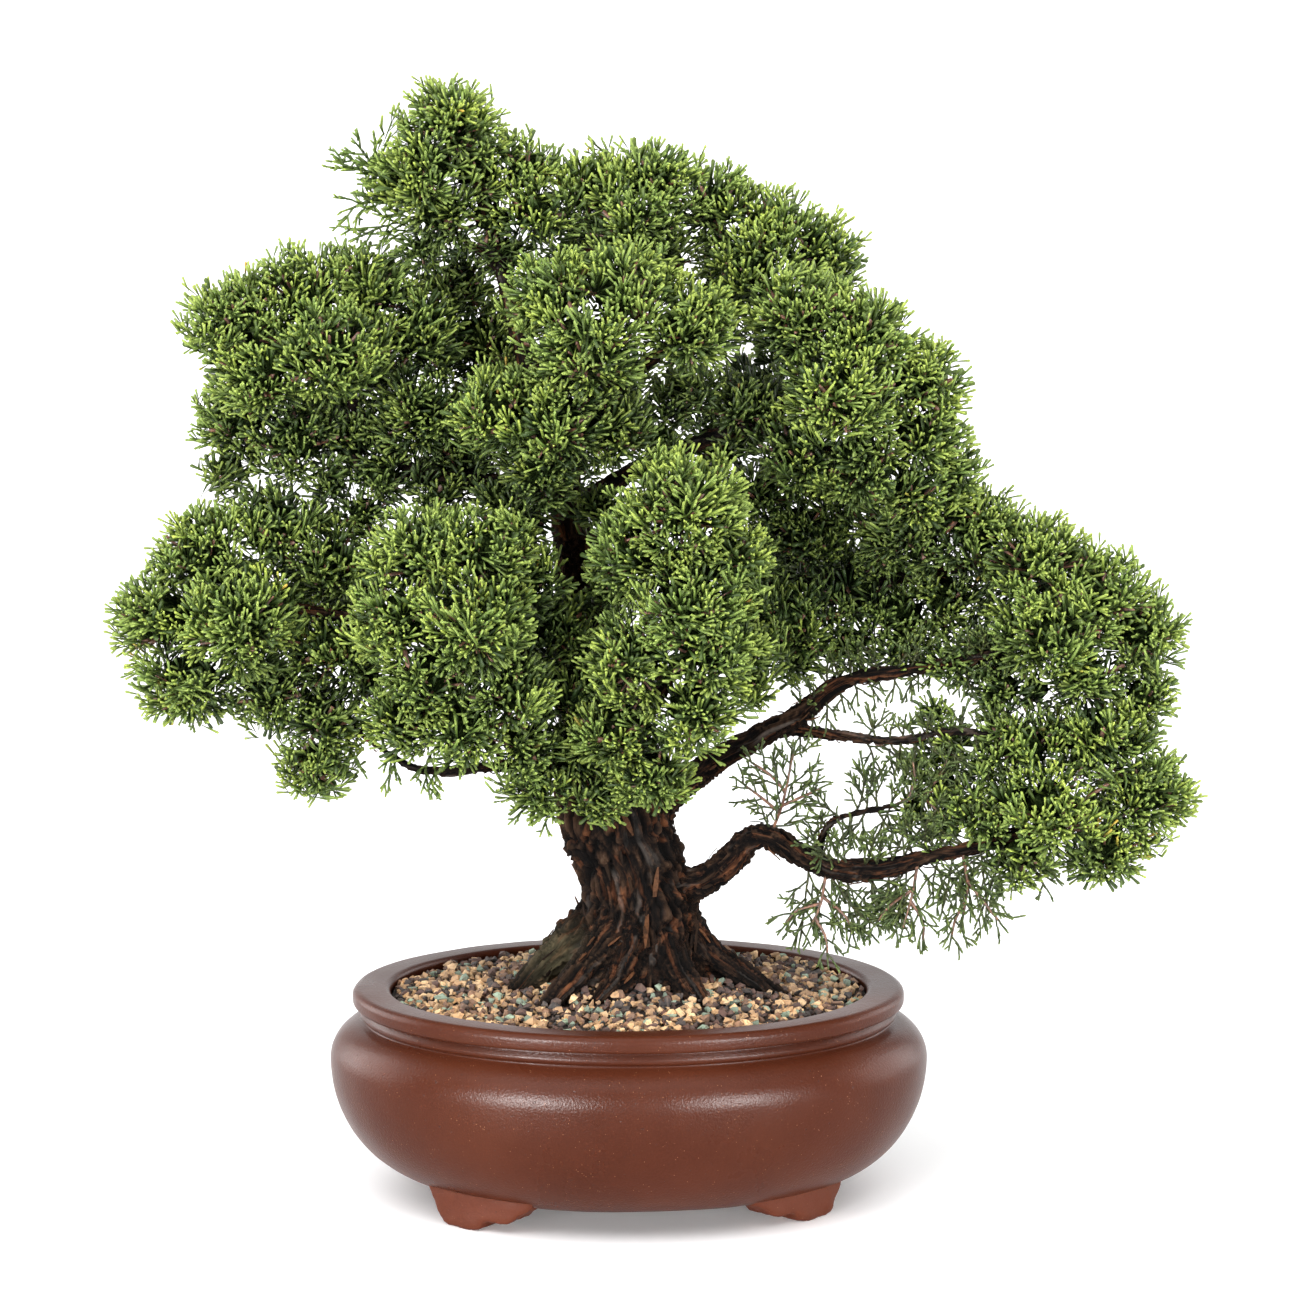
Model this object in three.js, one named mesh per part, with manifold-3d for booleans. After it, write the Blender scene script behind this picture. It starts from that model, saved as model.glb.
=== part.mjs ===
// A Chinese juniper bonsai in an oval clay pot. Millimetres, +Z up, front of the tree towards -Y.
import * as THREE from 'three';
import { mergeVertices } from 'three/addons/utils/BufferGeometryUtils.js';
import Module from 'manifold-3d';

const wasm = await Module();
wasm.setup();

// Driving dimensions of the pot
const POT_LENGTH = 302.6;
const POT_DEPTH_RATIO = 0.77;
const POT_HEIGHT = 107.3;
const POT_SEGMENTS = 24;
const FOOT_HEIGHT = 12;
const BELLY_HEIGHT = 71;
const BELLY_HALF = POT_LENGTH / 2;
const UNDERSIDE_HALF = 100;
const SHOULDER_DROP = 22;
const WALL = 11;
const NECK_HALF = 134.5;
const NECK_HEIGHT = 94.8;
const RIM_HALF = 139.5;
const RIM_BAND = 8.5;
const MOUTH_HALF = 120.5;
const LIP_ROUND = 2.5;
const THROAT_RISE = 27;
const DRAIN_RADIUS = 7;
const DRAIN_X = 46;
const SCREEN_SIZE = 26;
const SCREEN_THICK = 1.6;
const SCREEN_BAR = 2.8;
const SCREEN_BARS = 3;
const FOOT_LENGTH = 54;
const FOOT_DEPTH = 24;
const FOOT_BOW = 6.6;
const FOOT_TURN = 18 * Math.PI / 180;
const FOOT_RING = [79.6, 55.7];
const FOOT_TWIST = 5.2 * Math.PI / 180;

// Driving dimensions of the soil
const CLEARANCE = 0.35;
const SOIL_EDGE = 102.5;
const MOUND_RISE = 14.5;
const MOUND_REACH = 55;
const TRUNK_FOOT = [6, 8];
const GRIT_RELIEF = 1.1;

// Driving dimensions of the wood and the foliage
const WOOD_CLEARANCE = 0.42;
const CORE_SHARE = 1.08;
const LOBE_DEPTH = 1.08;
const LOBE_HEIGHT = 0.86;
const FACE_DEPTH = 0.8;
const TWIGLET_RADIUS = 1.5;
const TWIGLET_REACH = 5;
const TWIGLET_ROOT = 5;
const TWIGLET_LIFT = 0.25;
const TWIGLET_SPREAD = 0.3;
const TWIGLET_UNEVEN = 1.5;
const TWIGLET_CLEAR = 1;
const TWIGLET_SHARE = 0.14;
const RANDOM_SEED = 7;

// The trunk line, from the root ball up to the apex: x, y, z and radius
const TRUNK_LINE = [
  [6, 8, 92, 40], [6, 8, 114, 39], [6, 7, 136, 31], [5, 6, 161, 25.5], [2, 5.5, 175, 24],
  [-2, 5, 188, 27], [-6, 4, 214, 27], [-14, 3, 252, 20], [-20, 3, 290, 14.5], [-28, 4, 335, 9.8], [-34, 5, 372, 8],
  [-50, 5, 424, 6], [-62, 0, 468, 4.5], [-70, -6, 498, 3.4], [-78, -6, 522, 2.2],
];

// Surface roots, from inside the trunk out and down into the soil
const ROOTS = [
  [[-8, 6, 146, 12], [-30, 0, 127, 10], [-50, -6, 112, 6.5], [-64, -9, 101, 3.5]],
  [[-6, -8, 142, 12], [-24, -22, 124, 9.5], [-41, -34, 110, 6], [-50, -40, 101, 3.5]],
  [[6, -12, 140, 11], [-2, -31, 123, 8.5], [-12, -46, 107, 4.5]],
  [[16, -8, 142, 11], [25, -31, 124, 8.5], [34, -52, 104, 4]],
  [[22, 4, 146, 12], [42, -1, 127, 9.5], [65, -9, 112, 6.5], [86, -16, 100, 3.5]],
  [[20, 20, 142, 12], [42, 36, 124, 8.5], [62, 50, 104, 4]],
  [[0, 28, 142, 12], [-4, 50, 122, 8.5], [-10, 66, 104, 4]],
  [[-14, 20, 142, 12], [-34, 34, 123, 8.5], [-50, 46, 104, 4]],
];

// Limbs, from inside the trunk or a thicker limb out to the pad that each one carries
const LIMBS = {
  low_right: [
    [18, 4, 155, 9], [32, 3, 161, 8], [42, 0, 165.5, 7.7], [52, -5, 174, 7.5], [60, -10, 184, 6.8],
    [70, -14, 187, 6.2], [86, -20, 179, 6], [105, -26, 172, 5.4], [124, -28, 173, 5],
    [148, -30, 179, 4.2], [175, -30, 185, 3.4], [205, -30, 196, 2.6], [228, -28, 206, 1.8],
  ],
  low_right_thin: [[93, -22, 176, 2.8], [100, -21, 193, 2.2], [112, -24, 200, 2], [132, -28, 205, 1.7]],
  mid_right: [
    [14, 4, 196, 9], [32, 3, 211, 7], [54, 0, 226, 5.5], [82, -4, 240, 5], [92, -4, 248, 4.8],
    [101, -4, 257, 4.5], [112, -4, 264, 4], [126, -6, 267, 3.8], [150, -8, 272, 3.3],
    [176, -14, 278, 2.7], [204, -20, 288, 2],
  ],
  pale_right: [
    [74, -3, 236, 3.4], [90, -8, 238, 3], [118, -18, 237, 2.7], [138, -22, 237, 2.4],
    [158, -24, 242, 2.1], [184, -24, 240, 1.8], [206, -26, 236, 1.4],
  ],
  low_left_bare: [
    [-14, 2, 212, 7], [-30, -12, 220, 5], [-46, -32, 227, 4], [-64, -46, 229, 3.4],
    [-84, -50, 228, 3.2], [-104, -46, 228, 2.8], [-122, -36, 236, 2.4], [-142, -20, 248, 1.8],
  ],
  front_left_low: [[-62, -44, 229, 2.6], [-66, -57, 243, 2.2], [-74, -68, 257, 1.5]],
  left_shoulder: [
    [-34, 4, 352, 5.5], [-56, 0, 361, 5], [-78, -4, 365, 4.6], [-98, -6, 366, 4.4],
    [-112, -5, 374, 4.2], [-122, -6, 386, 3.8], [-132, -8, 398, 3.2], [-146, -13, 420, 2.4],
    [-156, -14, 436, 1.6],
  ],
  left_shoulder_low: [[-114, -5, 377, 3], [-132, 2, 385, 2.2], [-152, 3, 392, 1.7], [-170, 0, 395, 1.3]],
  low_left: [
    [-16, 3, 266, 8], [-48, -8, 276, 6], [-84, -18, 286, 5], [-120, -24, 294, 4],
    [-158, -30, 304, 3], [-192, -34, 307, 2],
  ],
  front_left: [[-22, 0, 300, 6], [-42, -24, 306, 4.6], [-62, -48, 312, 3.6], [-84, -72, 318, 2]],
  front_head: [[-20, 0, 306, 5.6], [-8, -32, 320, 4.4], [8, -62, 336, 3.4], [24, -92, 358, 1.8]],
  front_skirt: [[-6, -4, 238, 6], [6, -34, 250, 4.5], [16, -60, 266, 3.4], [24, -84, 290, 1.8]],
  veil: [[-10, -2, 252, 5], [-18, -22, 260, 3.8], [-26, -40, 268, 2.4]],
  heart_top: [[-40, 5, 392, 4.6], [-30, -16, 414, 3.6], [-20, -42, 432, 2.8], [-12, -60, 448, 1.7]],
  heart_low: [[-30, 4, 356, 4.8], [-40, -18, 372, 3.6], [-46, -40, 390, 2.6], [-42, -58, 404, 1.6]],
  apex_left: [[-62, 0, 468, 3], [-77, -4, 482, 2.3], [-92, -8, 494, 1.9], [-108, -4, 508, 1.3]],
  apex_right: [[-65, -3, 482, 2.8], [-58, 0, 497, 2.1], [-52, 3, 514, 1.4]],
  crown: [[-54, 4, 442, 4.2], [-38, 8, 462, 3.6], [-16, 10, 480, 3], [8, 8, 494, 2.2], [32, 10, 501, 1.4]],
  crown_right: [
    [-36, 5, 384, 5], [-8, 10, 410, 4], [26, 14, 434, 3.4], [56, 12, 458, 2.6], [78, 14, 480, 1.6],
  ],
  right_shoulder: [
    [-28, 4, 348, 5.6], [0, 0, 368, 5], [34, -10, 384, 4.4], [66, -22, 398, 3.6], [96, -36, 416, 2.6],
    [116, -40, 430, 1.6],
  ],
  right_shoulder_low: [[60, -19, 394, 3.2], [84, -24, 387, 2.4], [114, -32, 380, 1.5]],
  shade: [
    [-14, 3, 262, 7], [14, 8, 282, 6], [46, 14, 298, 5], [78, 20, 308, 4], [106, 24, 310, 3.4],
    [134, 22, 312, 3], [160, 12, 318, 2.6], [186, -4, 324, 2.1], [212, -14, 318, 1.5],
  ],
  back_crown: [[-43, 5, 404, 4.4], [-24, 28, 428, 3.4], [0, 50, 450, 2.6], [20, 60, 464, 1.6]],
  back_left_high: [
    [-32, 6, 370, 5], [-64, 24, 388, 3.8], [-100, 38, 402, 3], [-134, 46, 414, 2.2], [-152, 46, 420, 1.5],
  ],
  back_right_high: [
    [-26, 6, 326, 5.4], [10, 30, 346, 4.4], [46, 50, 372, 3.6], [76, 60, 398, 2.6], [92, 58, 412, 1.6],
  ],
  back_heart: [[-28, 6, 334, 5], [-30, 40, 350, 3.8], [-30, 72, 372, 3], [-28, 98, 388, 1.8]],
  back_left_low: [
    [-14, 5, 256, 7], [-50, 22, 264, 5.4], [-88, 40, 274, 4.4], [-128, 50, 286, 3.4], [-168, 50, 294, 2.2],
  ],
  back_mid_left: [[-10, 6, 244, 6.4], [-34, 40, 258, 4.6], [-58, 68, 276, 3.4], [-80, 88, 296, 2]],
  back_right_low: [
    [-8, 6, 240, 6.8], [18, 34, 258, 5], [48, 58, 276, 4], [78, 74, 294, 3], [100, 78, 306, 2],
  ],
  back_far_right: [[96, 77, 303, 2.6], [136, 64, 304, 2.1], [172, 48, 304, 1.7], [200, 38, 304, 1.3]],
};

// Foliage pads, front ones first: the lobes of each, as x, y, z and radius out to the leaf tips
const PADS = {
  apex: [[-87, -6, 542, 25], [-98, -18, 522, 23], [-74, 2, 520, 23], [-114, -2, 514, 16], [-92, -8, 500, 20],
    [-134, -4, 524, 9]],
  apex_right: [[-50, 6, 518, 19], [-46, -6, 500, 20], [-68, -2, 496, 17]],
  crown: [[-15, 10, 509, 23], [14, 4, 513, 24], [42, 12, 502, 23], [4, -12, 492, 25]],
  crown_right: [[68, 14, 490, 23], [95, 14, 480, 20], [60, -4, 474, 24]],
  heart_top: [[-35, -52, 461, 26], [-2, -58, 465, 27], [30, -54, 448, 27], [-20, -72, 441, 30]],
  heart_low: [[-62, -56, 408, 24], [-34, -66, 404, 26], [-9, -56, 400, 23], [-42, -50, 378, 21]],
  front_head: [[26, -96, 366, 32], [4, -86, 342, 24], [46, -84, 340, 25], [30, -98, 320, 28]],
  front_skirt: [[4, -86, 291, 26], [38, -92, 298, 28], [32, -84, 268, 25], [-5, -74, 255, 24],
    [14, -68, 232, 20]],
  front_left: [[-100, -70, 338, 27], [-69, -74, 341, 26], [-109, -78, 309, 27], [-74, -92, 310, 30],
    [-93, -74, 281, 26], [-50, -58, 326, 21]],
  front_left_low: [[-109, -58, 256, 21], [-79, -72, 256, 24], [-56, -80, 274, 23], [-50, -64, 246, 21],
    [-46, -54, 222, 16]],
  veil: [[-36, -42, 298, 22], [-28, -46, 268, 22], [-28, -44, 236, 21], [-12, -46, 216, 16]],
  left_shoulder: [[-190, -10, 445, 29], [-158, -4, 458, 28], [-128, 4, 459, 26], [-145, -34, 434, 29],
    [-180, -28, 423, 26], [-104, -2, 440, 26]],
  left_shoulder_low: [[-191, 4, 397, 25], [-164, -8, 388, 25], [-137, 2, 388, 25], [-104, -12, 402, 25],
    [-122, -8, 370, 19]],
  left_heart: [[-74, 28, 434, 27], [-70, 26, 396, 26], [-84, 8, 374, 22], [-84, 22, 464, 18]],
  low_left: [[-208, -18, 330, 29], [-174, -10, 342, 29], [-229, -26, 300, 28], [-190, -44, 302, 31],
    [-217, -30, 271, 27], [-148, -14, 326, 24]],
  low_left_under: [[-178, -18, 264, 24], [-152, -16, 250, 24], [-151, -14, 228, 20], [-144, -22, 286, 24]],
  right_shoulder: [[84, -34, 452, 27], [114, -38, 441, 28], [141, -32, 419, 25], [143, -30, 392, 24],
    [104, -52, 416, 30]],
  right_shoulder_low: [[113, -36, 380, 26], [140, -22, 364, 22], [84, -30, 386, 25], [60, -20, 404, 22]],
  far_right_top: [[173, 0, 340, 25], [203, -8, 328, 27], [233, -12, 310, 27], [254, -8, 291, 24],
    [208, -26, 296, 29], [226, -18, 272, 22]],
  low_right: [[196, -24, 236, 25], [232, -24, 238, 27], [257, -18, 212, 27], [210, -36, 208, 28],
    [237, -26, 187, 24], [196, -26, 184, 20], [190, -32, 212, 17]],
  shade: [[86, 20, 338, 26], [114, 24, 308, 27], [82, 6, 296, 25], [99, 30, 362, 23], [130, 6, 340, 24]],
  far_right_mid: [[159, 16, 305, 25], [136, 20, 296, 24], [178, 2, 280, 22]],
  back_crown: [[-24, 54, 472, 27], [14, 62, 471, 29], [46, 58, 450, 27]],
  back_left_high: [[-170, 40, 426, 27], [-136, 50, 420, 29], [-154, 50, 394, 26]],
  back_right_high: [[86, 50, 428, 28], [116, 50, 402, 27], [66, 74, 402, 29], [48, 40, 380, 25]],
  back_heart: [[-46, 94, 392, 29], [-10, 106, 400, 29], [-38, 106, 362, 28]],
  back_left_low: [[-206, 32, 298, 26], [-174, 52, 294, 30], [-144, 64, 302, 28]],
  back_mid_left: [[-101, 80, 310, 29], [-72, 96, 294, 29], [-78, 86, 268, 27]],
  back_right_low: [[84, 82, 312, 29], [118, 74, 308, 28], [84, 94, 280, 27]],
  back_far_right: [[193, 36, 317, 26], [226, 34, 298, 26]],
};

// Loose sprays on the low right limb: a stem that starts at the bark, then its side stems
const SPRAYS = {
  spray_hanging_near: {
    stem: [[99, -24, 174], [96, -34, 158], [91, -36, 146]],
    sides: [
      [[97, -33, 160], [108, -37, 151], [112, -38, 141]],
      [[96, -34, 157], [84, -37, 154], [78, -38, 147]],
      [[93, -36, 150], [98, -38, 141], [99, -38, 131]],
    ],
  },
  spray_hanging_far: {
    stem: [[144, -30, 178], [141, -41, 164], [136, -43, 146]],
    sides: [
      [[142, -40, 166], [130, -43, 158], [123, -43, 149]],
      [[140, -42, 160], [146, -44, 150], [146, -44, 140]],
    ],
  },
  spray_hanging_end: {
    stem: [[166, -30, 183], [168, -41, 168], [166, -44, 154]],
    sides: [
      [[168, -40, 170], [176, -44, 160], [184, -46, 150]],
      [[167, -43, 160], [162, -46, 152], [160, -46, 142]],
    ],
  },
  spray_thin_end: {
    stem: [[130, -27.8, 204.4], [144, -30, 211], [156, -32, 215]],
    sides: [
      [[139, -29, 208], [142, -31, 219], [141, -32, 229]],
      [[147, -30, 212], [155, -32, 222], [158, -33, 230]],
      [[146, -30, 211], [152, -32, 205], [158, -33, 200]],
    ],
  },
  spray_upright: {
    stem: [[71, -14, 187], [77, -23, 206], [82, -27, 232]],
    sides: [
      [[75, -22, 201], [66, -25, 209], [57, -26, 216]],
      [[78, -24, 212], [70, -26, 221], [61, -26, 227]],
      [[76, -23, 204], [86, -25, 209], [96, -26, 214]],
    ],
  },
};
const SPRAY_STEM_RADIUS = 1.7;
const SPRAY_STEM_TAPER = 0.1;
const SPRAY_TWIG_RADIUS = 0.8;
const SPRAY_TWIG_LENGTH = 9;
const SPRAY_TWIG_TURN = 2.4;
const SPRAY_TWIG_STEP = 14;
const SPRAY_TWIG_ASIDE = 0.9;
const SPRAY_END_ASIDE = 0.1;
const SPRAY_TWIST_AXIS = -0.4;

let seed = RANDOM_SEED;
function random() {
  seed = (seed * 16807) % 2147483647;
  return seed / 2147483647;
}
const jitter = (amount) => (random() - 0.5) * 2 * amount;
const jitterVector = (amount) => new THREE.Vector3(jitter(amount), jitter(amount), jitter(amount));
const pointOf = ([x, y, z]) => new THREE.Vector3(x, y, z);

// Closed geometry to a solid that can be joined and cut, and back
function solidOf(geometry) {
  geometry.deleteAttribute('normal');
  geometry.deleteAttribute('uv');
  const merged = mergeVertices(geometry, 1e-4);
  const triVerts = Uint32Array.from(merged.index.array);
  const corner = (i) => new THREE.Vector3().fromBufferAttribute(merged.attributes.position, triVerts[i]);
  let volume = 0;
  for (let i = 0; i < triVerts.length; i += 3) {
    volume += corner(i).dot(corner(i + 1).cross(corner(i + 2)));
  }
  if (volume < 0) {
    triVerts.reverse();
  }
  const vertProperties = Float32Array.from(merged.attributes.position.array);
  return new wasm.Manifold(new wasm.Mesh({ numProp: 3, vertProperties, triVerts }));
}

function geometryOf(solid) {
  const { vertProperties, triVerts } = solid.getMesh();
  const geometry = new THREE.BufferGeometry();
  geometry.setAttribute('position', new THREE.BufferAttribute(vertProperties, 3));
  geometry.setIndex(new THREE.BufferAttribute(triVerts, 1));
  geometry.computeVertexNormals();
  return geometry;
}

const joined = (solids) => wasm.Manifold.union(solids);

function largestBody(solid) {
  const bodies = solid.decompose();
  return bodies.reduce((best, body) => (body.volume() > best.volume() ? body : best));
}

function prismOf(shape, depth) {
  return new THREE.ExtrudeGeometry(shape, { depth, bevelEnabled: false, steps: 1 });
}

const screenBase = FOOT_HEIGHT + WALL - 1 + CLEARANCE;

// Materials, one for each kind of surface
const finish = (color, roughness) => new THREE.MeshStandardMaterial({ color, roughness, metalness: 0 });
const clay = () => finish(0x7a4532, 0.5);
const grit = () => finish(0x9b7f5e, 0.95);
const bark = () => finish(0x4a3426, 0.9);
const leaf = () => finish(0x58853a, 0.7);
const screenPlastic = () => finish(0x23231f, 0.6);

// Quarter arcs in the pot's outline, from the angle a to the angle b, both in quarter turns
function arc(centre, half, height, a, b, steps) {
  const points = [];
  for (let i = 0; i <= steps; i += 1) {
    const angle = (a + (b - a) * i / steps) * Math.PI / 2;
    const [x, y] = centre;
    points.push(new THREE.Vector2(x + half * Math.cos(angle), y + height * Math.sin(angle)));
  }
  return points;
}

function oval(profile) {
  const turned = new THREE.LatheGeometry(profile, POT_SEGMENTS);
  turned.rotateX(Math.PI / 2);
  turned.scale(1, POT_DEPTH_RATIO, 1);
  return turned;
}

// The inside of the pot, from the middle of its floor up to the height where it narrows to the mouth
function innerOutline(gap) {
  const floor = FOOT_HEIGHT + WALL - 1 + gap;
  const belly = BELLY_HALF - WALL - gap;
  const corner = UNDERSIDE_HALF - WALL;
  const throat = MOUTH_HALF + 1 - gap;
  const low = arc([corner, BELLY_HEIGHT], belly - corner, BELLY_HEIGHT - floor, -1, 0, 3);
  const high = arc([throat, BELLY_HEIGHT], belly - throat, THROAT_RISE, 0.4, 1, 2);
  return [new THREE.Vector2(0, floor), ...low, ...high];
}

function potOutline() {
  const flare = BELLY_HALF - UNDERSIDE_HALF;
  const outside = [
    new THREE.Vector2(0, FOOT_HEIGHT),
    ...arc([UNDERSIDE_HALF, BELLY_HEIGHT], flare, BELLY_HEIGHT - FOOT_HEIGHT, -1, 0, 5),
    ...arc([BELLY_HALF - SHOULDER_DROP, BELLY_HEIGHT], SHOULDER_DROP, SHOULDER_DROP, 0.35, 0.78, 2),
    new THREE.Vector2(NECK_HALF, NECK_HEIGHT),
    new THREE.Vector2(NECK_HALF + 0.8, POT_HEIGHT - RIM_BAND - 0.6),
    new THREE.Vector2(RIM_HALF - 0.8, POT_HEIGHT - RIM_BAND),
    new THREE.Vector2(RIM_HALF, POT_HEIGHT - LIP_ROUND - 1),
    new THREE.Vector2(RIM_HALF - LIP_ROUND, POT_HEIGHT),
    new THREE.Vector2(MOUTH_HALF + LIP_ROUND, POT_HEIGHT),
    new THREE.Vector2(MOUTH_HALF, POT_HEIGHT - LIP_ROUND),
  ];
  return [...outside, ...innerOutline(0).reverse()];
}

// A bracket foot that follows the bowl: a steep outer side, a flat sole and a long taper under the bowl
function footGeometry(sideX, sideY) {
  const outline = [
    [1, 21], [2, 18], [5, 11], [10, 2.5], [14, 0], [29, 0], [34, 3.5], [42, 6.5], [51, 8.5],
    [FOOT_LENGTH, 13], [FOOT_LENGTH, 21],
  ];
  const half = FOOT_LENGTH / 2;
  const shape = new THREE.Shape(outline.map(([along, up]) => new THREE.Vector2(along - half, up)));
  const foot = prismOf(shape, FOOT_DEPTH);
  foot.translate(0, 0, -FOOT_DEPTH / 2);
  foot.rotateX(Math.PI / 2);
  const places = foot.attributes.position;
  for (let i = 0; i < places.count; i += 1) {
    const back = FOOT_BOW * (places.getX(i) / half) ** 2;
    places.setY(i, places.getY(i) - sideY * back);
  }
  foot.scale(-sideX, 1, 1);
  return foot;
}

function feet() {
  const solids = [];
  for (const [sideX, sideY] of [[-1, -1], [1, -1], [1, 1], [-1, 1]]) {
    const foot = footGeometry(sideX, sideY);
    foot.rotateZ(-sideX * sideY * FOOT_TURN);
    foot.translate(sideX * FOOT_RING[0], sideY * FOOT_RING[1], 0);
    foot.rotateZ(FOOT_TWIST);
    solids.push(solidOf(foot));
  }
  return solids;
}

function drainPlug(x) {
  const plug = new THREE.CylinderGeometry(DRAIN_RADIUS, DRAIN_RADIUS, 40, 12);
  plug.rotateX(Math.PI / 2);
  plug.translate(x, 0, FOOT_HEIGHT);
  return solidOf(plug);
}

function potSolid() {
  const bowl = solidOf(oval(potOutline()));
  const inside = solidOf(oval([...innerOutline(0), new THREE.Vector2(0, BELLY_HEIGHT + THROAT_RISE)]));
  const footed = joined(feet()).subtract(inside);
  return bowl.add(footed).subtract(drainPlug(-DRAIN_X)).subtract(drainPlug(DRAIN_X));
}

// A square plastic screen: crossed bars with square holes between them
function screenSolid(x) {
  const bars = [];
  const pitch = (SCREEN_SIZE - SCREEN_BAR) / (SCREEN_BARS - 1);
  for (let i = 0; i < SCREEN_BARS; i += 1) {
    const offset = i * pitch - (SCREEN_SIZE - SCREEN_BAR) / 2;
    const along = new THREE.BoxGeometry(SCREEN_SIZE, SCREEN_BAR, SCREEN_THICK);
    along.translate(x, offset, screenBase + SCREEN_THICK / 2);
    const across = new THREE.BoxGeometry(SCREEN_BAR, SCREEN_SIZE, SCREEN_THICK);
    across.translate(x + offset, 0, screenBase + SCREEN_THICK / 2);
    bars.push(solidOf(along), solidOf(across));
  }
  return joined(bars);
}

function screenPocket(x) {
  const size = SCREEN_SIZE + CLEARANCE * 2;
  const pocket = new THREE.BoxGeometry(size, size, (SCREEN_THICK + CLEARANCE) * 2);
  pocket.translate(x, 0, screenBase);
  return solidOf(pocket);
}

// Height of the soil: level at the wall, mounded to the trunk, with a gravelly relief
function soilHeight(x, y) {
  const distance = Math.hypot(x - TRUNK_FOOT[0], y - TRUNK_FOOT[1]);
  return SOIL_EDGE + MOUND_RISE * Math.exp(-((distance / MOUND_REACH) ** 2));
}

function soilSolid(woodHole) {
  const side = innerOutline(CLEARANCE);
  const rings = 5;
  for (let ring = 0; ring <= rings; ring += 1) {
    side.push(new THREE.Vector2((MOUTH_HALF - CLEARANCE) * (1 - ring / rings), SOIL_EDGE));
  }
  const body = oval(side);
  const places = body.attributes.position;
  const reliefAt = new Map();
  for (let i = 0; i < places.count; i += 1) {
    if (places.getZ(i) > SOIL_EDGE - 0.01) {
      const key = `${Math.round(places.getX(i) * 100)},${Math.round(places.getY(i) * 100)}`;
      if (!reliefAt.has(key)) {
        reliefAt.set(key, jitter(GRIT_RELIEF));
      }
      places.setZ(i, soilHeight(places.getX(i), places.getY(i)) + reliefAt.get(key));
    }
  }
  const pockets = screenPocket(-DRAIN_X).add(screenPocket(DRAIN_X));
  return largestBody(solidOf(body).subtract(pockets).subtract(woodHole));
}

// A limb: a round bar bent along a smooth line through its points, with the radius of each point
function limbSolid(points, sides, grow = 0) {
  const line = new THREE.CatmullRomCurve3(points.map(pointOf), false, 'centripetal');
  const steps = points.length - 1;
  const frames = line.computeFrenetFrames(steps, false);
  const bar = new THREE.CylinderGeometry(1, 1, 1, sides, steps);
  const places = bar.attributes.position;
  for (let i = 0; i < places.count; i += 1) {
    const step = Math.round((places.getY(i) + 0.5) * steps);
    const radius = points[step][3] + grow;
    const place = pointOf(points[step]);
    if (step === steps) {
      place.addScaledVector(frames.tangents[step], grow);
    }
    place.addScaledVector(frames.normals[step], places.getX(i) * radius);
    place.addScaledVector(frames.binormals[step], places.getZ(i) * radius);
    places.setXYZ(i, place.x, place.y, place.z);
  }
  return solidOf(bar);
}

function limbSides(points) {
  const radius = points[0][3];
  return radius > 6 ? 5 : 4;
}

function woodSolid(grow) {
  const parts = [limbSolid(TRUNK_LINE, 9, grow)];
  for (const points of [...ROOTS, ...Object.values(LIMBS)]) {
    parts.push(limbSolid(points, limbSides(points), grow));
  }
  return joined(parts);
}

// Foliage
const lobesOf = Object.fromEntries(Object.entries(PADS).map(([name, lobes]) => [
  name,
  lobes.map(([x, y, z, r]) => ({
    centre: new THREE.Vector3(x, y, z),
    tips: new THREE.Vector3(r, r * LOBE_DEPTH, r * LOBE_HEIGHT),
    turn: new THREE.Euler(random() * 3, random() * 3, random() * 3),
    radius: r,
  })),
]));

function lobeGeometry(lobe, grow) {
  const core = new THREE.IcosahedronGeometry(1, 0);
  core.applyMatrix4(new THREE.Matrix4().makeRotationFromEuler(lobe.turn));
  const size = lobe.tips.clone().multiplyScalar(CORE_SHARE).addScalar(grow);
  core.scale(size.x, size.y, size.z);
  core.translate(lobe.centre.x, lobe.centre.y, lobe.centre.z);
  return core;
}

const lobeSolid = (lobe, grow) => solidOf(lobeGeometry(lobe, grow));
const coreSolid = (name, grow) => joined(lobesOf[name].map((lobe) => lobeSolid(lobe, grow)));

// How deep a place lies in a lobe's core: below 1 is inside
function coreDepth(place, lobe, margin) {
  const offset = place.clone().sub(lobe.centre);
  const size = lobe.tips.clone().multiplyScalar(CORE_SHARE).addScalar(margin);
  return offset.divide(size).length();
}

const woodLines = [TRUNK_LINE, ...ROOTS, ...Object.values(LIMBS)];

function nearWood(place, margin) {
  return woodLines.some((points) => points.slice(1).some((end, i) => {
    const segment = new THREE.Line3(pointOf(points[i]), pointOf(end));
    const nearest = segment.closestPointToPoint(place, true, new THREE.Vector3());
    return nearest.distanceTo(place) < Math.max(points[i][3], end[3]) + margin;
  }));
}

const placedTwiglets = [];

function twigletIsClear(name, root, tip) {
  const room = TWIGLET_RADIUS + TWIGLET_CLEAR;
  for (const share of [0.25, 0.5, 0.75, 1]) {
    const place = root.clone().lerp(tip, share);
    if (nearWood(place, room)) {
      return false;
    }
    for (const [other, lobes] of Object.entries(lobesOf)) {
      if (other !== name && lobes.some((lobe) => coreDepth(place, lobe, room) < 1)) {
        return false;
      }
    }
    for (const twiglet of placedTwiglets) {
      if (twiglet.name !== name && twiglet.line.closestPointToPoint(place, true, new THREE.Vector3())
        .distanceTo(place) < TWIGLET_RADIUS * 2 + TWIGLET_CLEAR) {
        return false;
      }
    }
  }
  return true;
}

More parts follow.
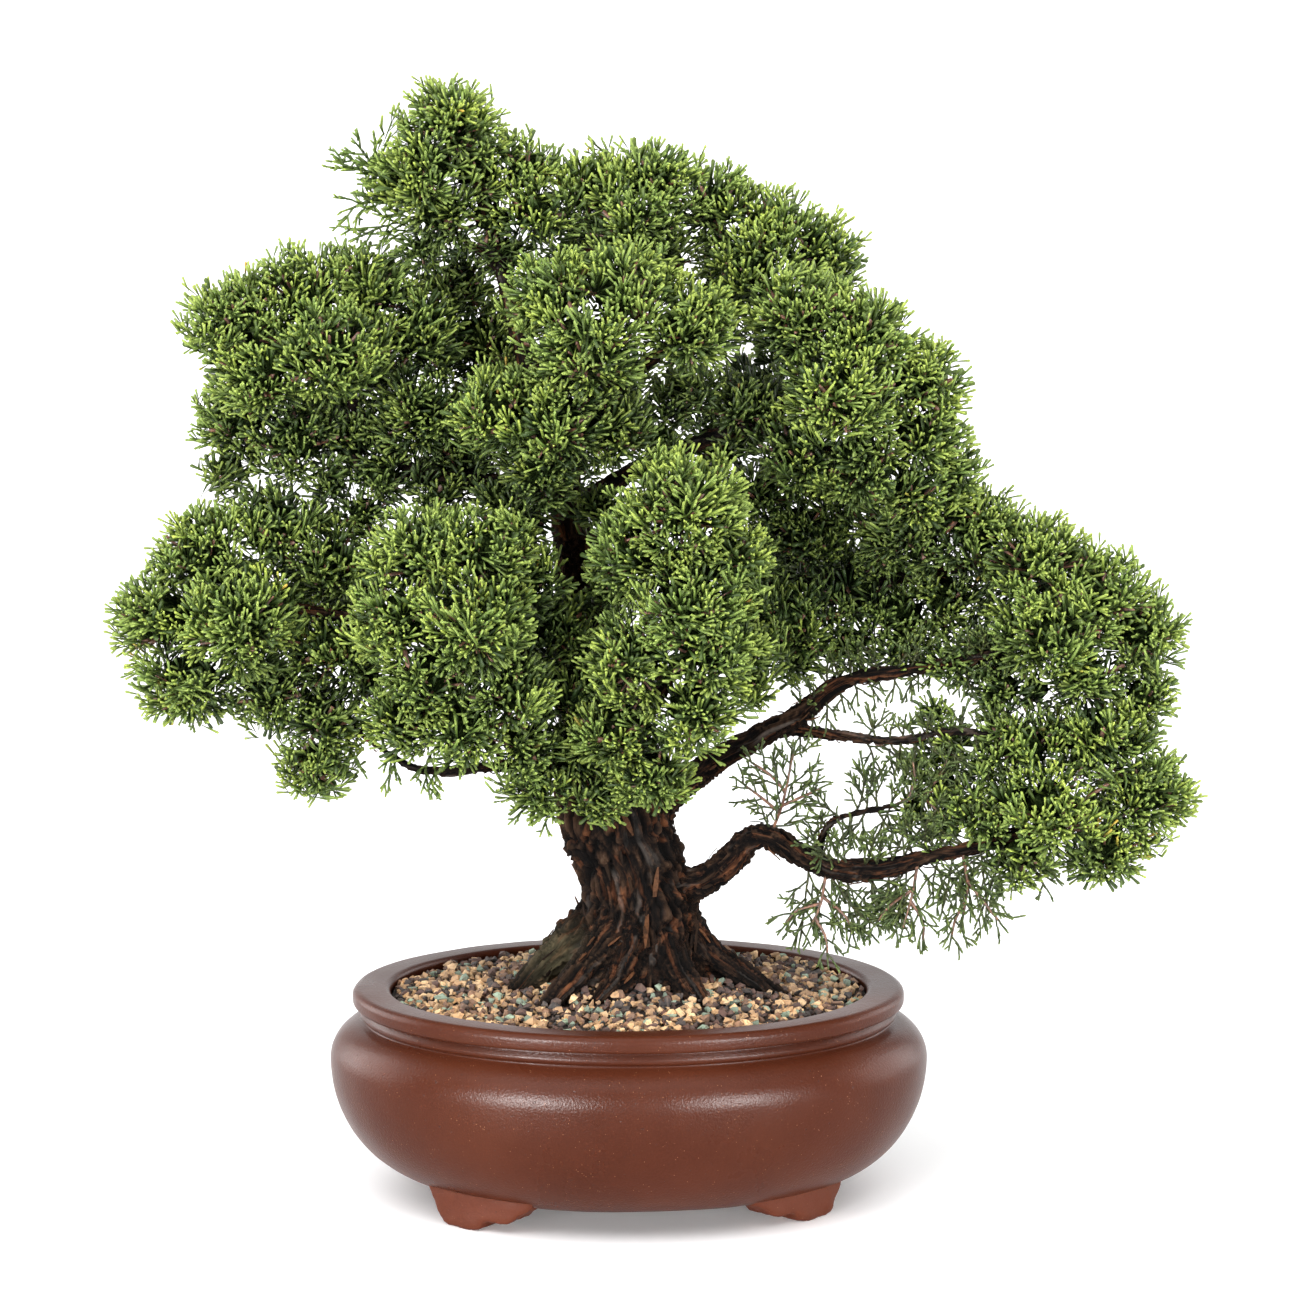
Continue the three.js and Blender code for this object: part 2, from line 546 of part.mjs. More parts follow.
function twigletSolid(root, tip, radius) {
  const along = tip.clone().sub(root);
  const twiglet = new THREE.ConeGeometry(radius, along.length(), 3);
  twiglet.translate(0, along.length() / 2, 0);
  twiglet.rotateY(random() * 6);
  const up = new THREE.Vector3(0, 1, 0);
  twiglet.applyMatrix4(new THREE.Matrix4().makeRotationFromQuaternion(
    new THREE.Quaternion().setFromUnitVectors(up, along.normalize()),
  ));
  twiglet.translate(root.x, root.y, root.z);
  return solidOf(twiglet);
}

// The middle of each face of a lobe's core
function facesOf(lobe) {
  const places = lobeGeometry(lobe, 0).attributes.position;
  const middles = [];
  for (let i = 0; i < places.count; i += 3) {
    const corners = [0, 1, 2].map((k) => new THREE.Vector3().fromBufferAttribute(places, i + k));
    middles.push(corners[0].add(corners[1]).add(corners[2]).divideScalar(3));
  }
  return middles;
}

// Twiglets stand on a share of the open faces, outwards and a little upwards
function padTwiglets(name) {
  const solids = [];
  for (const lobe of lobesOf[name]) {
    for (const base of facesOf(lobe)) {
      const others = lobesOf[name].filter((other) => other !== lobe);
      const covered = others.some((other) => coreDepth(base, other, 0) < FACE_DEPTH);
      if (covered || random() > TWIGLET_SHARE) {
        continue;
      }
      const outward = base.clone().sub(lobe.centre).normalize();
      const lift = new THREE.Vector3(0, 0, TWIGLET_LIFT);
      const heading = outward.clone().add(lift).add(jitterVector(TWIGLET_SPREAD)).normalize();
      const reach = lobe.radius * (1 - CORE_SHARE * FACE_DEPTH) + TWIGLET_REACH + jitter(TWIGLET_UNEVEN);
      for (const bend of [heading, outward]) {
        const tip = base.clone().addScaledVector(bend, reach);
        if (twigletIsClear(name, base, tip)) {
          const root = base.clone().addScaledVector(bend, -TWIGLET_ROOT);
          placedTwiglets.push({ name, line: new THREE.Line3(base, tip) });
          solids.push(twigletSolid(root, tip, TWIGLET_RADIUS));
          break;
        }
      }
    }
  }
  return solids;
}

// Pads are cut clear of the wood that carries them and of the pads in front of them
function padSolids(woodHole) {
  const pads = {};
  const taken = [];
  for (const name of Object.keys(PADS)) {
    let pad = joined([coreSolid(name, 0), ...padTwiglets(name)]).subtract(woodHole);
    if (taken.length > 0) {
      pad = pad.subtract(joined(taken));
    }
    pads[name] = largestBody(pad);
    taken.push(coreSolid(name, WOOD_CLEARANCE));
  }
  return pads;
}

// A loose spray: thin stems with twiglets along them, turned a little further at each step
function spraySolid(spray, woodHole) {
  const solids = [];
  for (const points of [spray.stem, ...spray.sides]) {
    const radii = points.map((point, i) => [...point, SPRAY_STEM_RADIUS - i * SPRAY_STEM_TAPER]);
    solids.push(limbSolid(radii, 3));
    const line = new THREE.CatmullRomCurve3(points.map(pointOf), false, 'centripetal');
    const steps = Math.round(line.getLength() / SPRAY_TWIG_STEP);
    for (let i = 1; i <= steps; i += 1) {
      const root = line.getPointAt(i / steps);
      const ahead = line.getTangentAt(i / steps);
      const turn = i * SPRAY_TWIG_TURN;
      const aside = new THREE.Vector3(Math.cos(turn), SPRAY_TWIST_AXIS, Math.sin(turn))
        .cross(ahead).normalize();
      const lean = i === steps ? SPRAY_END_ASIDE : SPRAY_TWIG_ASIDE;
      const heading = ahead.clone().addScaledVector(aside, lean).normalize();
      const tip = root.clone().addScaledVector(heading, SPRAY_TWIG_LENGTH + jitter(TWIGLET_UNEVEN));
      solids.push(twigletSolid(root, tip, SPRAY_TWIG_RADIUS));
    }
  }
  return largestBody(joined(solids).subtract(woodHole));
}

function meshOf(name, geometry, material) {
  const mesh = new THREE.Mesh(geometry, material);
  mesh.name = name;
  return mesh;
}

const bonsai = new THREE.Group();
const woodHole = woodSolid(WOOD_CLEARANCE);
bonsai.add(meshOf('pot', geometryOf(potSolid()), clay()));
bonsai.add(meshOf('drain_screen_left', geometryOf(screenSolid(-DRAIN_X)), screenPlastic()));
bonsai.add(meshOf('drain_screen_right', geometryOf(screenSolid(DRAIN_X)), screenPlastic()));
bonsai.add(meshOf('soil', geometryOf(soilSolid(woodHole)), grit()));
bonsai.add(meshOf('trunk', geometryOf(woodSolid(0)), bark()));
for (const [name, pad] of Object.entries(padSolids(woodHole))) {
  bonsai.add(meshOf(`foliage_${name}`, geometryOf(pad), leaf()));
}
for (const [name, spray] of Object.entries(SPRAYS)) {
  bonsai.add(meshOf(name, geometryOf(spraySolid(spray, woodHole)), leaf()));
}

// The origin is under the middle of the whole tree, at the height of the soles of the feet
const box = new THREE.Box3().setFromObject(bonsai);
bonsai.position.set(-(box.min.x + box.max.x) / 2, -(box.min.y + box.max.y) / 2, -box.min.z);

export default bonsai;
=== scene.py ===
# A Chinese juniper bonsai in an oval clay pot. The lists below are in millimetres from the middle of
# the pot, with the floor at height 0 and the front of the tree towards -Y.
import math

import bmesh
import bpy
import numpy as np
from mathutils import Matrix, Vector, noise
from mathutils.kdtree import KDTree


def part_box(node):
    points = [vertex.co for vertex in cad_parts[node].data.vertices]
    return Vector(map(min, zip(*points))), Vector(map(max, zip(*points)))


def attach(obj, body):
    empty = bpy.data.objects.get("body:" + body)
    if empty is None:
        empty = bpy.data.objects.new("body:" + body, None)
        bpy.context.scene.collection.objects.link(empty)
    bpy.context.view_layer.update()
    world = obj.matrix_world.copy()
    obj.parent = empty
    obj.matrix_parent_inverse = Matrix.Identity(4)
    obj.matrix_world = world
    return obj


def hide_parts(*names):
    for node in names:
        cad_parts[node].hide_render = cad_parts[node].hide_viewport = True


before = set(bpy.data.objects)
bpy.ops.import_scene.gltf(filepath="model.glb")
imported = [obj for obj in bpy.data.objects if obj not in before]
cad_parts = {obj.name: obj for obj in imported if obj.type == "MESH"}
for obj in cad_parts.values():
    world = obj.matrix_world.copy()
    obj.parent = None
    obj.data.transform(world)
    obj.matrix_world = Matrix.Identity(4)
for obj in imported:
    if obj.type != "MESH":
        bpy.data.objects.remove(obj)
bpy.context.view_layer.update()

MM = 0.001
rng = np.random.default_rng(11)

# The pot's own dimensions
POT_LOW, POT_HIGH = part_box("pot")
POT_MIDDLE = np.array([(POT_LOW.x + POT_HIGH.x) / 2, (POT_LOW.y + POT_HIGH.y) / 2, 0.0])
BELLY_HALF = (POT_HIGH.x - POT_LOW.x) / 2 / MM
DEPTH_RATIO = (POT_HIGH.y - POT_LOW.y) / (POT_HIGH.x - POT_LOW.x)
POT_HEIGHT = POT_HIGH.z / MM
FOOT_HEIGHT = 12
BELLY_HEIGHT = 71
UNDERSIDE_HALF = 100
SHOULDER_DROP = 22
WALL = 11
NECK_HALF = 134.5
NECK_GROOVE = 92
RIM_HALF = 139.5
RIM_BAND = 8.5
MOUTH_HALF = 120.5
THROAT_RISE = 27
DRAIN_RADIUS = 7
DRAIN_X = 46
BOWL_TURNS = 132
FOOT_DEPTH = 22
FOOT_EDGE = 120.5
FOOT_LEAN = 1.5
FOOT_START = math.radians(28)
FOOT_SPREAD = math.radians(0.6)
FOOT_TWIST = math.radians(5.2)
FOOT_VOXEL = 1.6

# The soil and its gravel
SOIL_GAP = 0.35
SOIL_EDGE = 102.5
MOUND_RISE = 14.5
MOUND_REACH = 55
TRUNK_FOOT = (6, 8)
SOIL_TURNS = 96
GRAIN_COUNT = 3600
CRUMB_COUNT = 1500

# The wood's skin: the sizes of its faces, its lifted splinters and the moss on the left root
BASE_VOXEL = 1.5
LIMB_VOXEL = 2.1
LINE_SHIFT = 137.0
FLAKE_COUNT = 440
FLAKES_FROM = 112
FLAKES_TO = 460
MOSS_MIDDLE = (-34, -6, 122)
MOSS_REACH = (16, 14, 14)

# The foliage: the shape of a lobe, then how sprigs, tufts and twigs are spread over it
LOBE_SHAPE = np.array([1.0, 1.08, 0.86])
TIP_REACH = 1.3
SPRIG_AREA = 140
BACK_AREA = 330
BACK_FROM = 30
INNER_SHARE = 0.42
HEART_DROP = 0.62
BLEND = 7.0
SEAM_LIFT = 14.0
WAY_JITTER = 0.30
SPRIG_KINDS = 16
TUFT_KINDS = 4
CORE_SHARE = 0.45
TWIG_SHARE = 0.38
OUTER_DARK = 0.06
INNER_DARK = 0.14
SPRAY_RADIUS = 0.70
PAD_WISP_RADIUS = 0.75
BLUNT = 0.75

# The trunk line, from the root ball up to the apex: x, y, z and radius. The base ends, and the
# upper trunk begins, at the rows counted here.
BASE_END = 10
UPPER_START = 8
TRUNK_LINE = [
    (6, 8, 92, 40), (6, 8, 114, 39), (5, 7, 136, 31.5), (3, 6, 161, 26.2), (-0.5, 5.5, 175, 24.8),
    (-4.5, 5, 188, 27.4), (-8, 4, 214, 27), (-14, 3, 252, 20), (-20, 3, 290, 14.5), (-28, 4, 335, 9.8),
    (-34, 5, 372, 8), (-50, 5, 424, 6), (-62, 0, 468, 4.5), (-70, -6, 498, 3.4), (-78, -6, 522, 2.2),
]

# Surface roots, from inside the trunk out and down into the soil
ROOTS = [
    [(-10, 6, 146, 12), (-31, 0, 128, 9.6), (-49, -6, 112, 6.5), (-62, -9, 100, 3.5)],
    [(-4, -8, 138, 12), (-22, -24, 121, 8), (-36, -38, 109, 5.5), (-46, -44, 100, 3.5)],
    [(4, -12, 130, 11), (-3, -28, 117, 8), (-16, -40, 107, 4.5)],
    [(16, -6, 130, 12), (26, -26, 117, 8.5), (38, -40, 105, 4)],
    [(20, 4, 144, 12), (41, -3, 124, 8.6), (62, -9, 111, 6.5), (82, -14, 100, 4)],
    [(18, 18, 136, 12), (38, 34, 114, 8), (58, 48, 100, 4)],
    [(0, 26, 136, 12), (-4, 48, 114, 8), (-10, 64, 100, 4)],
    [(-12, 18, 136, 12), (-30, 32, 113, 8), (-46, 44, 100, 4)],
]

# Limbs that show below the foliage, then those that it hides
BARE_LIMBS = {
    "low_right": [
        (18, 4, 153, 9), (32, 3, 158.5, 8.6), (42, 0, 163.5, 8.2), (52, -5, 173, 8), (60, -10, 184, 7),
        (70, -14, 187, 6.6), (86, -20, 179, 6.4), (105, -26, 172, 5.8), (124, -28, 173, 5.4),
        (148, -30, 179, 4.2), (175, -30, 185, 3.4), (205, -30, 196, 2.6), (228, -28, 206, 1.8),
    ],
    "low_right_thin": [(93, -22, 176, 2.8), (100, -21, 193, 2.2), (112, -24, 200, 2), (132, -28, 205, 1.7)],
    "mid_right": [
        (14, 4, 198, 9), (32, 3, 214, 7.2), (54, 0, 228.5, 6), (82, -4, 244.5, 5.4), (92, -4, 252, 5),
        (101, -4, 260, 4.5), (112, -4, 265, 4), (126, -6, 268, 3.8), (150, -8, 272, 3.3),
        (176, -14, 278, 2.7), (204, -20, 288, 2),
    ],
    "pale_right": [
        (74, -3, 239, 3.4), (90, -8, 239, 3), (118, -18, 237, 2.7), (138, -22, 237, 2.4),
        (158, -24, 242, 2.1), (184, -24, 240, 1.8), (206, -26, 236, 1.4),
    ],
    "low_left_bare": [
        (-14, 2, 212, 7), (-30, -12, 220, 5), (-46, -32, 227, 4), (-64, -46, 229, 3.4),
        (-84, -50, 228, 3.2), (-104, -46, 228, 2.8), (-122, -36, 236, 2.4), (-142, -20, 248, 1.8),
    ],
}
HIDDEN_LIMBS = {
    "front_left_low": [(-62, -44, 229, 2.6), (-66, -57, 243, 2.2), (-74, -68, 257, 1.5)],
    "left_shoulder": [
        (-34, 4, 352, 5.5), (-56, 0, 361, 5), (-78, -4, 365, 4.6), (-98, -6, 366, 4.4),
        (-112, -5, 374, 4.2), (-122, -6, 386, 3.8), (-132, -8, 398, 3.2), (-146, -13, 420, 2.4),
        (-156, -14, 436, 1.6),
    ],
    "left_shoulder_low": [(-114, -5, 377, 3), (-132, 2, 385, 2.2), (-152, 3, 392, 1.7), (-170, 0, 395, 1.3)],
    "low_left": [
        (-16, 3, 266, 8), (-48, -8, 276, 6), (-84, -18, 286, 5), (-120, -24, 294, 4),
        (-158, -30, 304, 3), (-192, -34, 307, 2),
    ],
    "front_left": [(-22, 0, 300, 6), (-42, -24, 306, 4.6), (-62, -48, 312, 3.6), (-84, -72, 318, 2)],
    "front_head": [(-20, 0, 306, 5.6), (-8, -32, 320, 4.4), (8, -62, 336, 3.4), (24, -92, 358, 1.8)],
    "front_skirt": [(-6, -4, 238, 6), (6, -34, 250, 4.5), (16, -60, 266, 3.4), (24, -84, 290, 1.8)],
    "veil": [(-10, -2, 252, 5), (-18, -22, 260, 3.8), (-26, -40, 268, 2.4)],
    "heart_top": [(-40, 5, 392, 4.6), (-30, -16, 414, 3.6), (-20, -42, 432, 2.8), (-12, -60, 448, 1.7)],
    "heart_low": [(-30, 4, 356, 4.8), (-40, -18, 372, 3.6), (-46, -40, 390, 2.6), (-42, -58, 404, 1.6)],
    "apex_left": [(-62, 0, 468, 3), (-77, -4, 482, 2.3), (-92, -8, 494, 1.9), (-108, -4, 508, 1.3)],
    "apex_right": [(-65, -3, 482, 2.8), (-58, 0, 497, 2.1), (-52, 3, 514, 1.4)],
    "crown": [
        (-54, 4, 442, 4.2), (-38, 8, 462, 3.6), (-16, 10, 480, 3), (8, 8, 494, 2.2), (32, 10, 501, 1.4),
    ],
    "crown_right": [
        (-36, 5, 384, 5), (-8, 10, 410, 4), (26, 14, 434, 3.4), (56, 12, 458, 2.6), (78, 14, 480, 1.6),
    ],
    "right_shoulder": [
        (-28, 4, 348, 5.6), (0, 0, 368, 5), (34, -10, 384, 4.4), (66, -22, 398, 3.6), (96, -36, 416, 2.6),
        (116, -40, 430, 1.6),
    ],
    "right_shoulder_low": [(60, -19, 394, 3.2), (84, -24, 387, 2.4), (114, -32, 380, 1.5)],
    "shade": [
        (-14, 3, 262, 7), (14, 8, 282, 6), (46, 14, 298, 5), (78, 20, 308, 4), (106, 24, 310, 3.4),
        (134, 22, 312, 3), (160, 12, 318, 2.6), (186, -4, 324, 2.1), (212, -14, 318, 1.5),
    ],
    "back_crown": [(-43, 5, 404, 4.4), (-24, 28, 428, 3.4), (0, 50, 450, 2.6), (20, 60, 464, 1.6)],
    "back_left_high": [
        (-32, 6, 370, 5), (-64, 24, 388, 3.8), (-100, 38, 402, 3), (-134, 46, 414, 2.2), (-152, 46, 420, 1.5),
    ],
    "back_right_high": [
        (-26, 6, 326, 5.4), (10, 30, 346, 4.4), (46, 50, 372, 3.6), (76, 60, 398, 2.6), (92, 58, 412, 1.6),
    ],
    "back_heart": [(-28, 6, 334, 5), (-30, 40, 350, 3.8), (-30, 72, 372, 3), (-28, 98, 388, 1.8)],
    "back_left_low": [
        (-14, 5, 256, 7), (-50, 22, 264, 5.4), (-88, 40, 274, 4.4), (-128, 50, 286, 3.4),
        (-168, 50, 294, 2.2),
    ],
    "back_mid_left": [(-10, 6, 244, 6.4), (-34, 40, 258, 4.6), (-58, 68, 276, 3.4), (-80, 88, 296, 2)],
    "back_right_low": [
        (-8, 6, 240, 6.8), (18, 34, 258, 5), (48, 58, 276, 4), (78, 74, 294, 3), (100, 78, 306, 2),
    ],
    "back_far_right": [(96, 77, 303, 2.6), (136, 64, 304, 2.1), (172, 48, 304, 1.7), (200, 38, 304, 1.3)],
}

# Foliage pads: the lobes of each, as x, y, z and radius out to the leaf tips
PADS = {
    "apex": [(-87, -6, 542, 25), (-98, -18, 522, 23), (-74, 2, 520, 23), (-114, -2, 514, 16),
        (-92, -8, 500, 20)],
    "apex_right": [(-50, 6, 518, 19), (-46, -6, 500, 20), (-68, -2, 496, 17)],
    "crown": [(-15, 10, 509, 23), (14, 4, 513, 24), (42, 12, 502, 23), (4, -12, 492, 25)],
    "crown_right": [(68, 14, 490, 23), (95, 14, 480, 20), (60, -4, 474, 24)],
    "heart_top": [(-35, -52, 461, 26), (-2, -58, 465, 27), (30, -54, 448, 27), (-20, -72, 441, 30)],
    "heart_low": [(-62, -56, 408, 24), (-34, -66, 404, 26), (-9, -56, 400, 23), (-42, -50, 378, 21)],
    "front_head": [(26, -96, 366, 32), (4, -86, 342, 24), (46, -84, 340, 25), (30, -98, 320, 28)],
    "front_skirt": [(4, -86, 291, 26), (38, -92, 298, 28), (32, -84, 268, 25), (-5, -74, 255, 24),
        (14, -68, 232, 20)],
    "front_left": [(-100, -70, 338, 27), (-69, -74, 341, 26), (-109, -78, 309, 27), (-74, -92, 310, 30),
        (-93, -74, 281, 26), (-50, -58, 326, 21)],
    "front_left_low": [(-109, -58, 256, 21), (-79, -72, 256, 24), (-56, -80, 274, 23),
        (-50, -64, 246, 21), (-46, -54, 222, 16)],
    "veil": [(-36, -42, 298, 22), (-28, -46, 268, 22), (-28, -44, 236, 21), (-12, -46, 216, 16)],
    "left_shoulder": [(-190, -10, 445, 29), (-158, -4, 458, 28), (-128, 4, 459, 26),
        (-145, -34, 434, 29), (-180, -28, 423, 26), (-104, -2, 440, 26)],
    "left_shoulder_low": [(-191, 4, 397, 25), (-164, -8, 388, 25), (-137, 2, 388, 25),
        (-104, -12, 402, 25), (-122, -8, 370, 19)],
    "left_heart": [(-74, 28, 434, 27), (-70, 26, 396, 26), (-84, 8, 374, 22), (-84, 22, 464, 18)],
    "low_left": [(-208, -18, 330, 29), (-174, -10, 342, 29), (-229, -26, 300, 28), (-190, -44, 302, 31),
        (-217, -30, 271, 27), (-148, -14, 326, 24)],
    "low_left_under": [(-178, -18, 264, 24), (-152, -16, 250, 24), (-156, -14, 226, 20),
        (-144, -22, 286, 24)],
    "right_shoulder": [(84, -34, 452, 27), (114, -38, 441, 28), (141, -32, 419, 25), (143, -30, 392, 24),
        (104, -52, 416, 30)],
    "right_shoulder_low": [(113, -36, 380, 26), (140, -22, 364, 22), (84, -30, 386, 25),
        (60, -20, 404, 22)],
    "far_right_top": [(173, 0, 340, 25), (203, -8, 328, 27), (233, -12, 310, 27), (254, -8, 291, 24),
        (208, -26, 296, 29), (226, -18, 272, 22)],
    "low_right": [(196, -24, 236, 25), (232, -24, 238, 27), (257, -18, 212, 27), (210, -36, 208, 28),
        (237, -26, 187, 24), (196, -26, 184, 20), (190, -32, 212, 17)],
    "shade": [(86, 20, 338, 26), (114, 24, 308, 27), (82, 6, 296, 25), (99, 30, 362, 23),
        (130, 6, 340, 24)],
    "far_right_mid": [(159, 16, 305, 25), (136, 20, 296, 24), (178, 2, 280, 22)],
    "back_crown": [(-24, 54, 472, 27), (14, 62, 471, 29), (46, 58, 450, 27)],
    "back_left_high": [(-170, 40, 426, 27), (-136, 50, 420, 29), (-154, 50, 394, 26)],
    "back_right_high": [(86, 50, 428, 28), (116, 50, 402, 27), (66, 74, 402, 29), (48, 40, 380, 25)],
    "back_heart": [(-46, 94, 392, 29), (-10, 106, 400, 29), (-38, 106, 362, 28)],
    "back_left_low": [(-206, 32, 298, 26), (-174, 52, 294, 30), (-144, 64, 302, 28)],
    "back_mid_left": [(-101, 80, 310, 29), (-72, 96, 294, 29), (-78, 86, 268, 27)],
    "back_right_low": [(84, 82, 312, 29), (118, 74, 308, 28), (84, 94, 280, 27)],
    "back_far_right": [(193, 36, 317, 26), (226, 34, 298, 26)],
}

# Small lobes that close the gaps between the pads
FILLERS = {
    "heart_low": [(28, -20, 411, 18), (-15, -24, 356, 13), (-49, -34, 352, 15), (-64, -24, 360, 13),
        (16, -30, 391, 13)],
    "left_shoulder_low": [(-146, -8, 364, 12), (-131, -10, 351, 14), (-93, -14, 360, 14), (-198, 0, 372, 12)],
    "apex_right": [(-58, 0, 480, 13), (-101, -4, 480, 10)],
    "crown_right": [(98, 6, 466, 15)],
    "front_head": [(-8, -34, 314, 14), (22, -54, 330, 14)],
    "front_skirt": [(60, -54, 274, 12), (62, -60, 292, 13)],
    "front_left_low": [(-93, -40, 258, 14), (-129, -16, 266, 13)],
    "shade": [(66, 8, 358, 18), (112, 12, 281, 17), (87, 8, 276, 16), (62, -10, 300, 18), (60, 8, 326, 18)],
    "far_right_mid": [(138, 8, 282, 16), (162, -6, 276, 14), (186, -12, 263, 16)],
    "right_shoulder_low": [(158, -18, 373, 17), (164, -12, 352, 14)],
    "far_right_top": [(256, -14, 259, 18), (232, -18, 246, 12), (146, 0, 334, 18), (202, -14, 262, 14)],
    "low_right": [(213, -26, 240, 14), (182, -28, 198, 16), (168, -30, 206, 13), (176, -28, 226, 12),
        (251, -16, 236, 14), (158, -20, 216, 12), (160, -16, 236, 12), (156, -24, 196, 11),
        (152, -14, 250, 9), (144, -18, 226, 9), (142, -24, 204, 9)],
}

# Thin wisps at the edge of a pad: the points of each stem
PAD_WISPS = {
    "apex": [
        [(-98, -6, 510), (-120, -7, 517), (-131, -7, 529)],
        [(-116, -7, 515), (-128, -7, 518), (-139, -8, 521)],
        [(-100, -6, 502), (-120, -8, 505), (-135, -8, 500)],
        [(-98, -6, 494), (-116, -8, 492), (-131, -8, 486)],
        [(-92, -6, 484), (-106, -8, 479), (-118, -9, 474)],
    ],
    "low_left_under": [
        [(-156, -14, 226), (-159, -16, 218), (-163, -18, 212)],
        [(-132, -20, 242), (-138, -24, 232), (-140, -26, 226)],
    ],
    "front_left_low": [
        [(-112, -50, 240), (-116, -52, 231), (-117, -52, 223)],
        [(-96, -52, 238), (-99, -54, 228), (-98, -54, 220)],
        [(-46, -54, 216), (-50, -56, 210), (-54, -56, 206)],
        [(-36, -50, 212), (-39, -52, 206), (-41, -53, 201)],
    ],
}

# Loose sprays on the low right limb: a stem that starts at the bark, then its side stems
SPRAYS = {
    "spray_hanging_near": [
        [(99, -24, 174), (96, -34, 158), (91, -36, 146)],
        [(97, -33, 160), (108, -37, 151), (112, -38, 141)],
        [(96, -34, 157), (84, -37, 154), (78, -38, 147)],
        [(93, -36, 150), (98, -38, 141), (99, -38, 131)],
    ],
    "spray_hanging_far": [
        [(144, -30, 178), (141, -41, 164), (136, -43, 146)],
        [(142, -40, 166), (130, -43, 158), (123, -43, 149)],
        [(140, -42, 160), (146, -44, 150), (146, -44, 140)],
    ],
    "spray_hanging_end": [
        [(166, -30, 183), (168, -41, 168), (166, -44, 154)],
        [(168, -40, 170), (176, -44, 160), (184, -46, 150)],
        [(167, -43, 160), (162, -46, 152), (160, -46, 142)],
    ],
    "spray_thin_end": [
        [(130, -27.8, 204.4), (144, -30, 211), (156, -32, 215)],
        [(139, -29, 208), (142, -31, 219), (141, -32, 229)],
        [(147, -30, 212), (155, -32, 222), (158, -33, 230)],
        [(146, -30, 211), (152, -32, 205), (158, -33, 200)],
    ],
    "spray_upright": [
        [(71, -14, 187), (77, -23, 206), (82, -27, 232)],
        [(75, -22, 201), (66, -25, 209), (57, -26, 216)],
        [(78, -24, 212), (70, -26, 221), (61, -26, 227)],
        [(76, -23, 204), (86, -25, 209), (96, -26, 214)],
    ],
}

# Wisps on the bare limbs: the limb, from and to x, spacing, and their lengths above and below it
WISP_RANGES = [
    ("low_right", 90, 200, 6.5, (12, 30), (12, 30)),
    ("low_right_thin", 100, 134, 6.0, (12, 22), (8, 18)),
    ("mid_right", 84, 200, 7.0, (8, 14), (5, 11)),
    ("pale_right", 118, 204, 6.0, (4, 10), (9, 22)),
]

# The camera: how far it looks down, where it stands, and its lens in pixels of the photo's width
PITCH = math.radians(9.5)
CAMERA_DISTANCE = 2200
CAMERA_TARGET = (10.9, 0, 279)
SENSOR = 36.0
FOCAL_PIXELS = 4400
PHOTO_PIXELS = 1300
LENS = FOCAL_PIXELS / PHOTO_PIXELS * SENSOR

# The floor, and the lamps: strength, then width, height and turn from the front in degrees, and
# whether the lamp lights matt surfaces too or only shows as gloss
FLOOR_HALF = 90.0
LAMPS = [
    ("low_left", 1.6, 20, 8, -30, True),
    ("low_right", 0.8, 20, 8, 36, True),
    ("high_left", 1.9, 40, 52, -38, True),
    ("high_right", 1.2, 40, 54, 30, True),
    ("shine_left", 11.0, 20, 9, -31, False),
    ("shine_right", 8.0, 20, 9, 33, False),
    ("edge_left", 5.0, 50, 14, -112, False),
    ("edge_right", 3.4, 50, 14, 112, False),
    ("rim_shine", 0.45, 50, 12, 180, False),
]


# Small helpers

def row_points(points):
    """Millimetres from the pot's middle to metres in the row frame."""
    return np.asarray(points, float) * MM + POT_MIDDLE


def unit(vectors):
    return vectors / np.maximum(np.linalg.norm(vectors, axis=-1, keepdims=True), 1e-9)


def linked(name, data):
    """Puts a mesh, lamp or camera into the scene as a new object."""
    thing = bpy.data.objects.new(name, data)
    bpy.context.scene.collection.objects.link(thing)
    return thing


def solid_object(name, solid):
    """Makes an object of a bmesh solid, and frees the solid."""
    mesh = bpy.data.meshes.new(name)
    solid.to_mesh(mesh)
    solid.free()
    return linked(name, mesh)


def triangle_object(name, points, triangles, smooth=True):
    mesh = bpy.data.meshes.new(name)
    mesh.vertices.add(len(points))
    mesh.vertices.foreach_set("co", row_points(points).astype(np.float32).ravel())
    mesh.loops.add(triangles.size)
    mesh.loops.foreach_set("vertex_index", triangles.astype(np.int32).ravel())
    mesh.polygons.add(len(triangles))
    mesh.polygons.foreach_set("loop_start", np.arange(0, triangles.size, 3, dtype=np.int32))
    mesh.polygons.foreach_set("use_smooth", np.full(len(triangles), smooth))
    mesh.update(calc_edges=True)
    return linked(name, mesh)


def give(thing, name, values, kind="FLOAT", field="value"):
    """Stores a value or a vector at each point of a mesh, for its material."""
    layer = thing.data.attributes.new(name, kind, "POINT")
    layer.data.foreach_set(field, np.asarray(values, np.float32).ravel())


def read_rows(thing, field):
    rows = np.empty(len(thing.data.vertices) * 3, np.float32)
    thing.data.vertices.foreach_get(field, rows)
    return rows.reshape(-1, 3).astype(float)


def points_of(thing):
    """The points of a mesh, back in millimetres from the pot's middle."""
    return (read_rows(thing, "co") - POT_MIDDLE) / MM


def normals_of(thing):
    return read_rows(thing, "normal")


def set_points(thing, points):
    thing.data.vertices.foreach_set("co", row_points(points).astype(np.float32).ravel())
    thing.data.update()


def applied(thing):
    """Bakes the modifiers of a mesh object into its mesh."""
    graph = bpy.context.evaluated_depsgraph_get()
    mesh = bpy.data.meshes.new_from_object(thing.evaluated_get(graph))
    thing.modifiers.clear()
    thing.data = mesh
    return thing


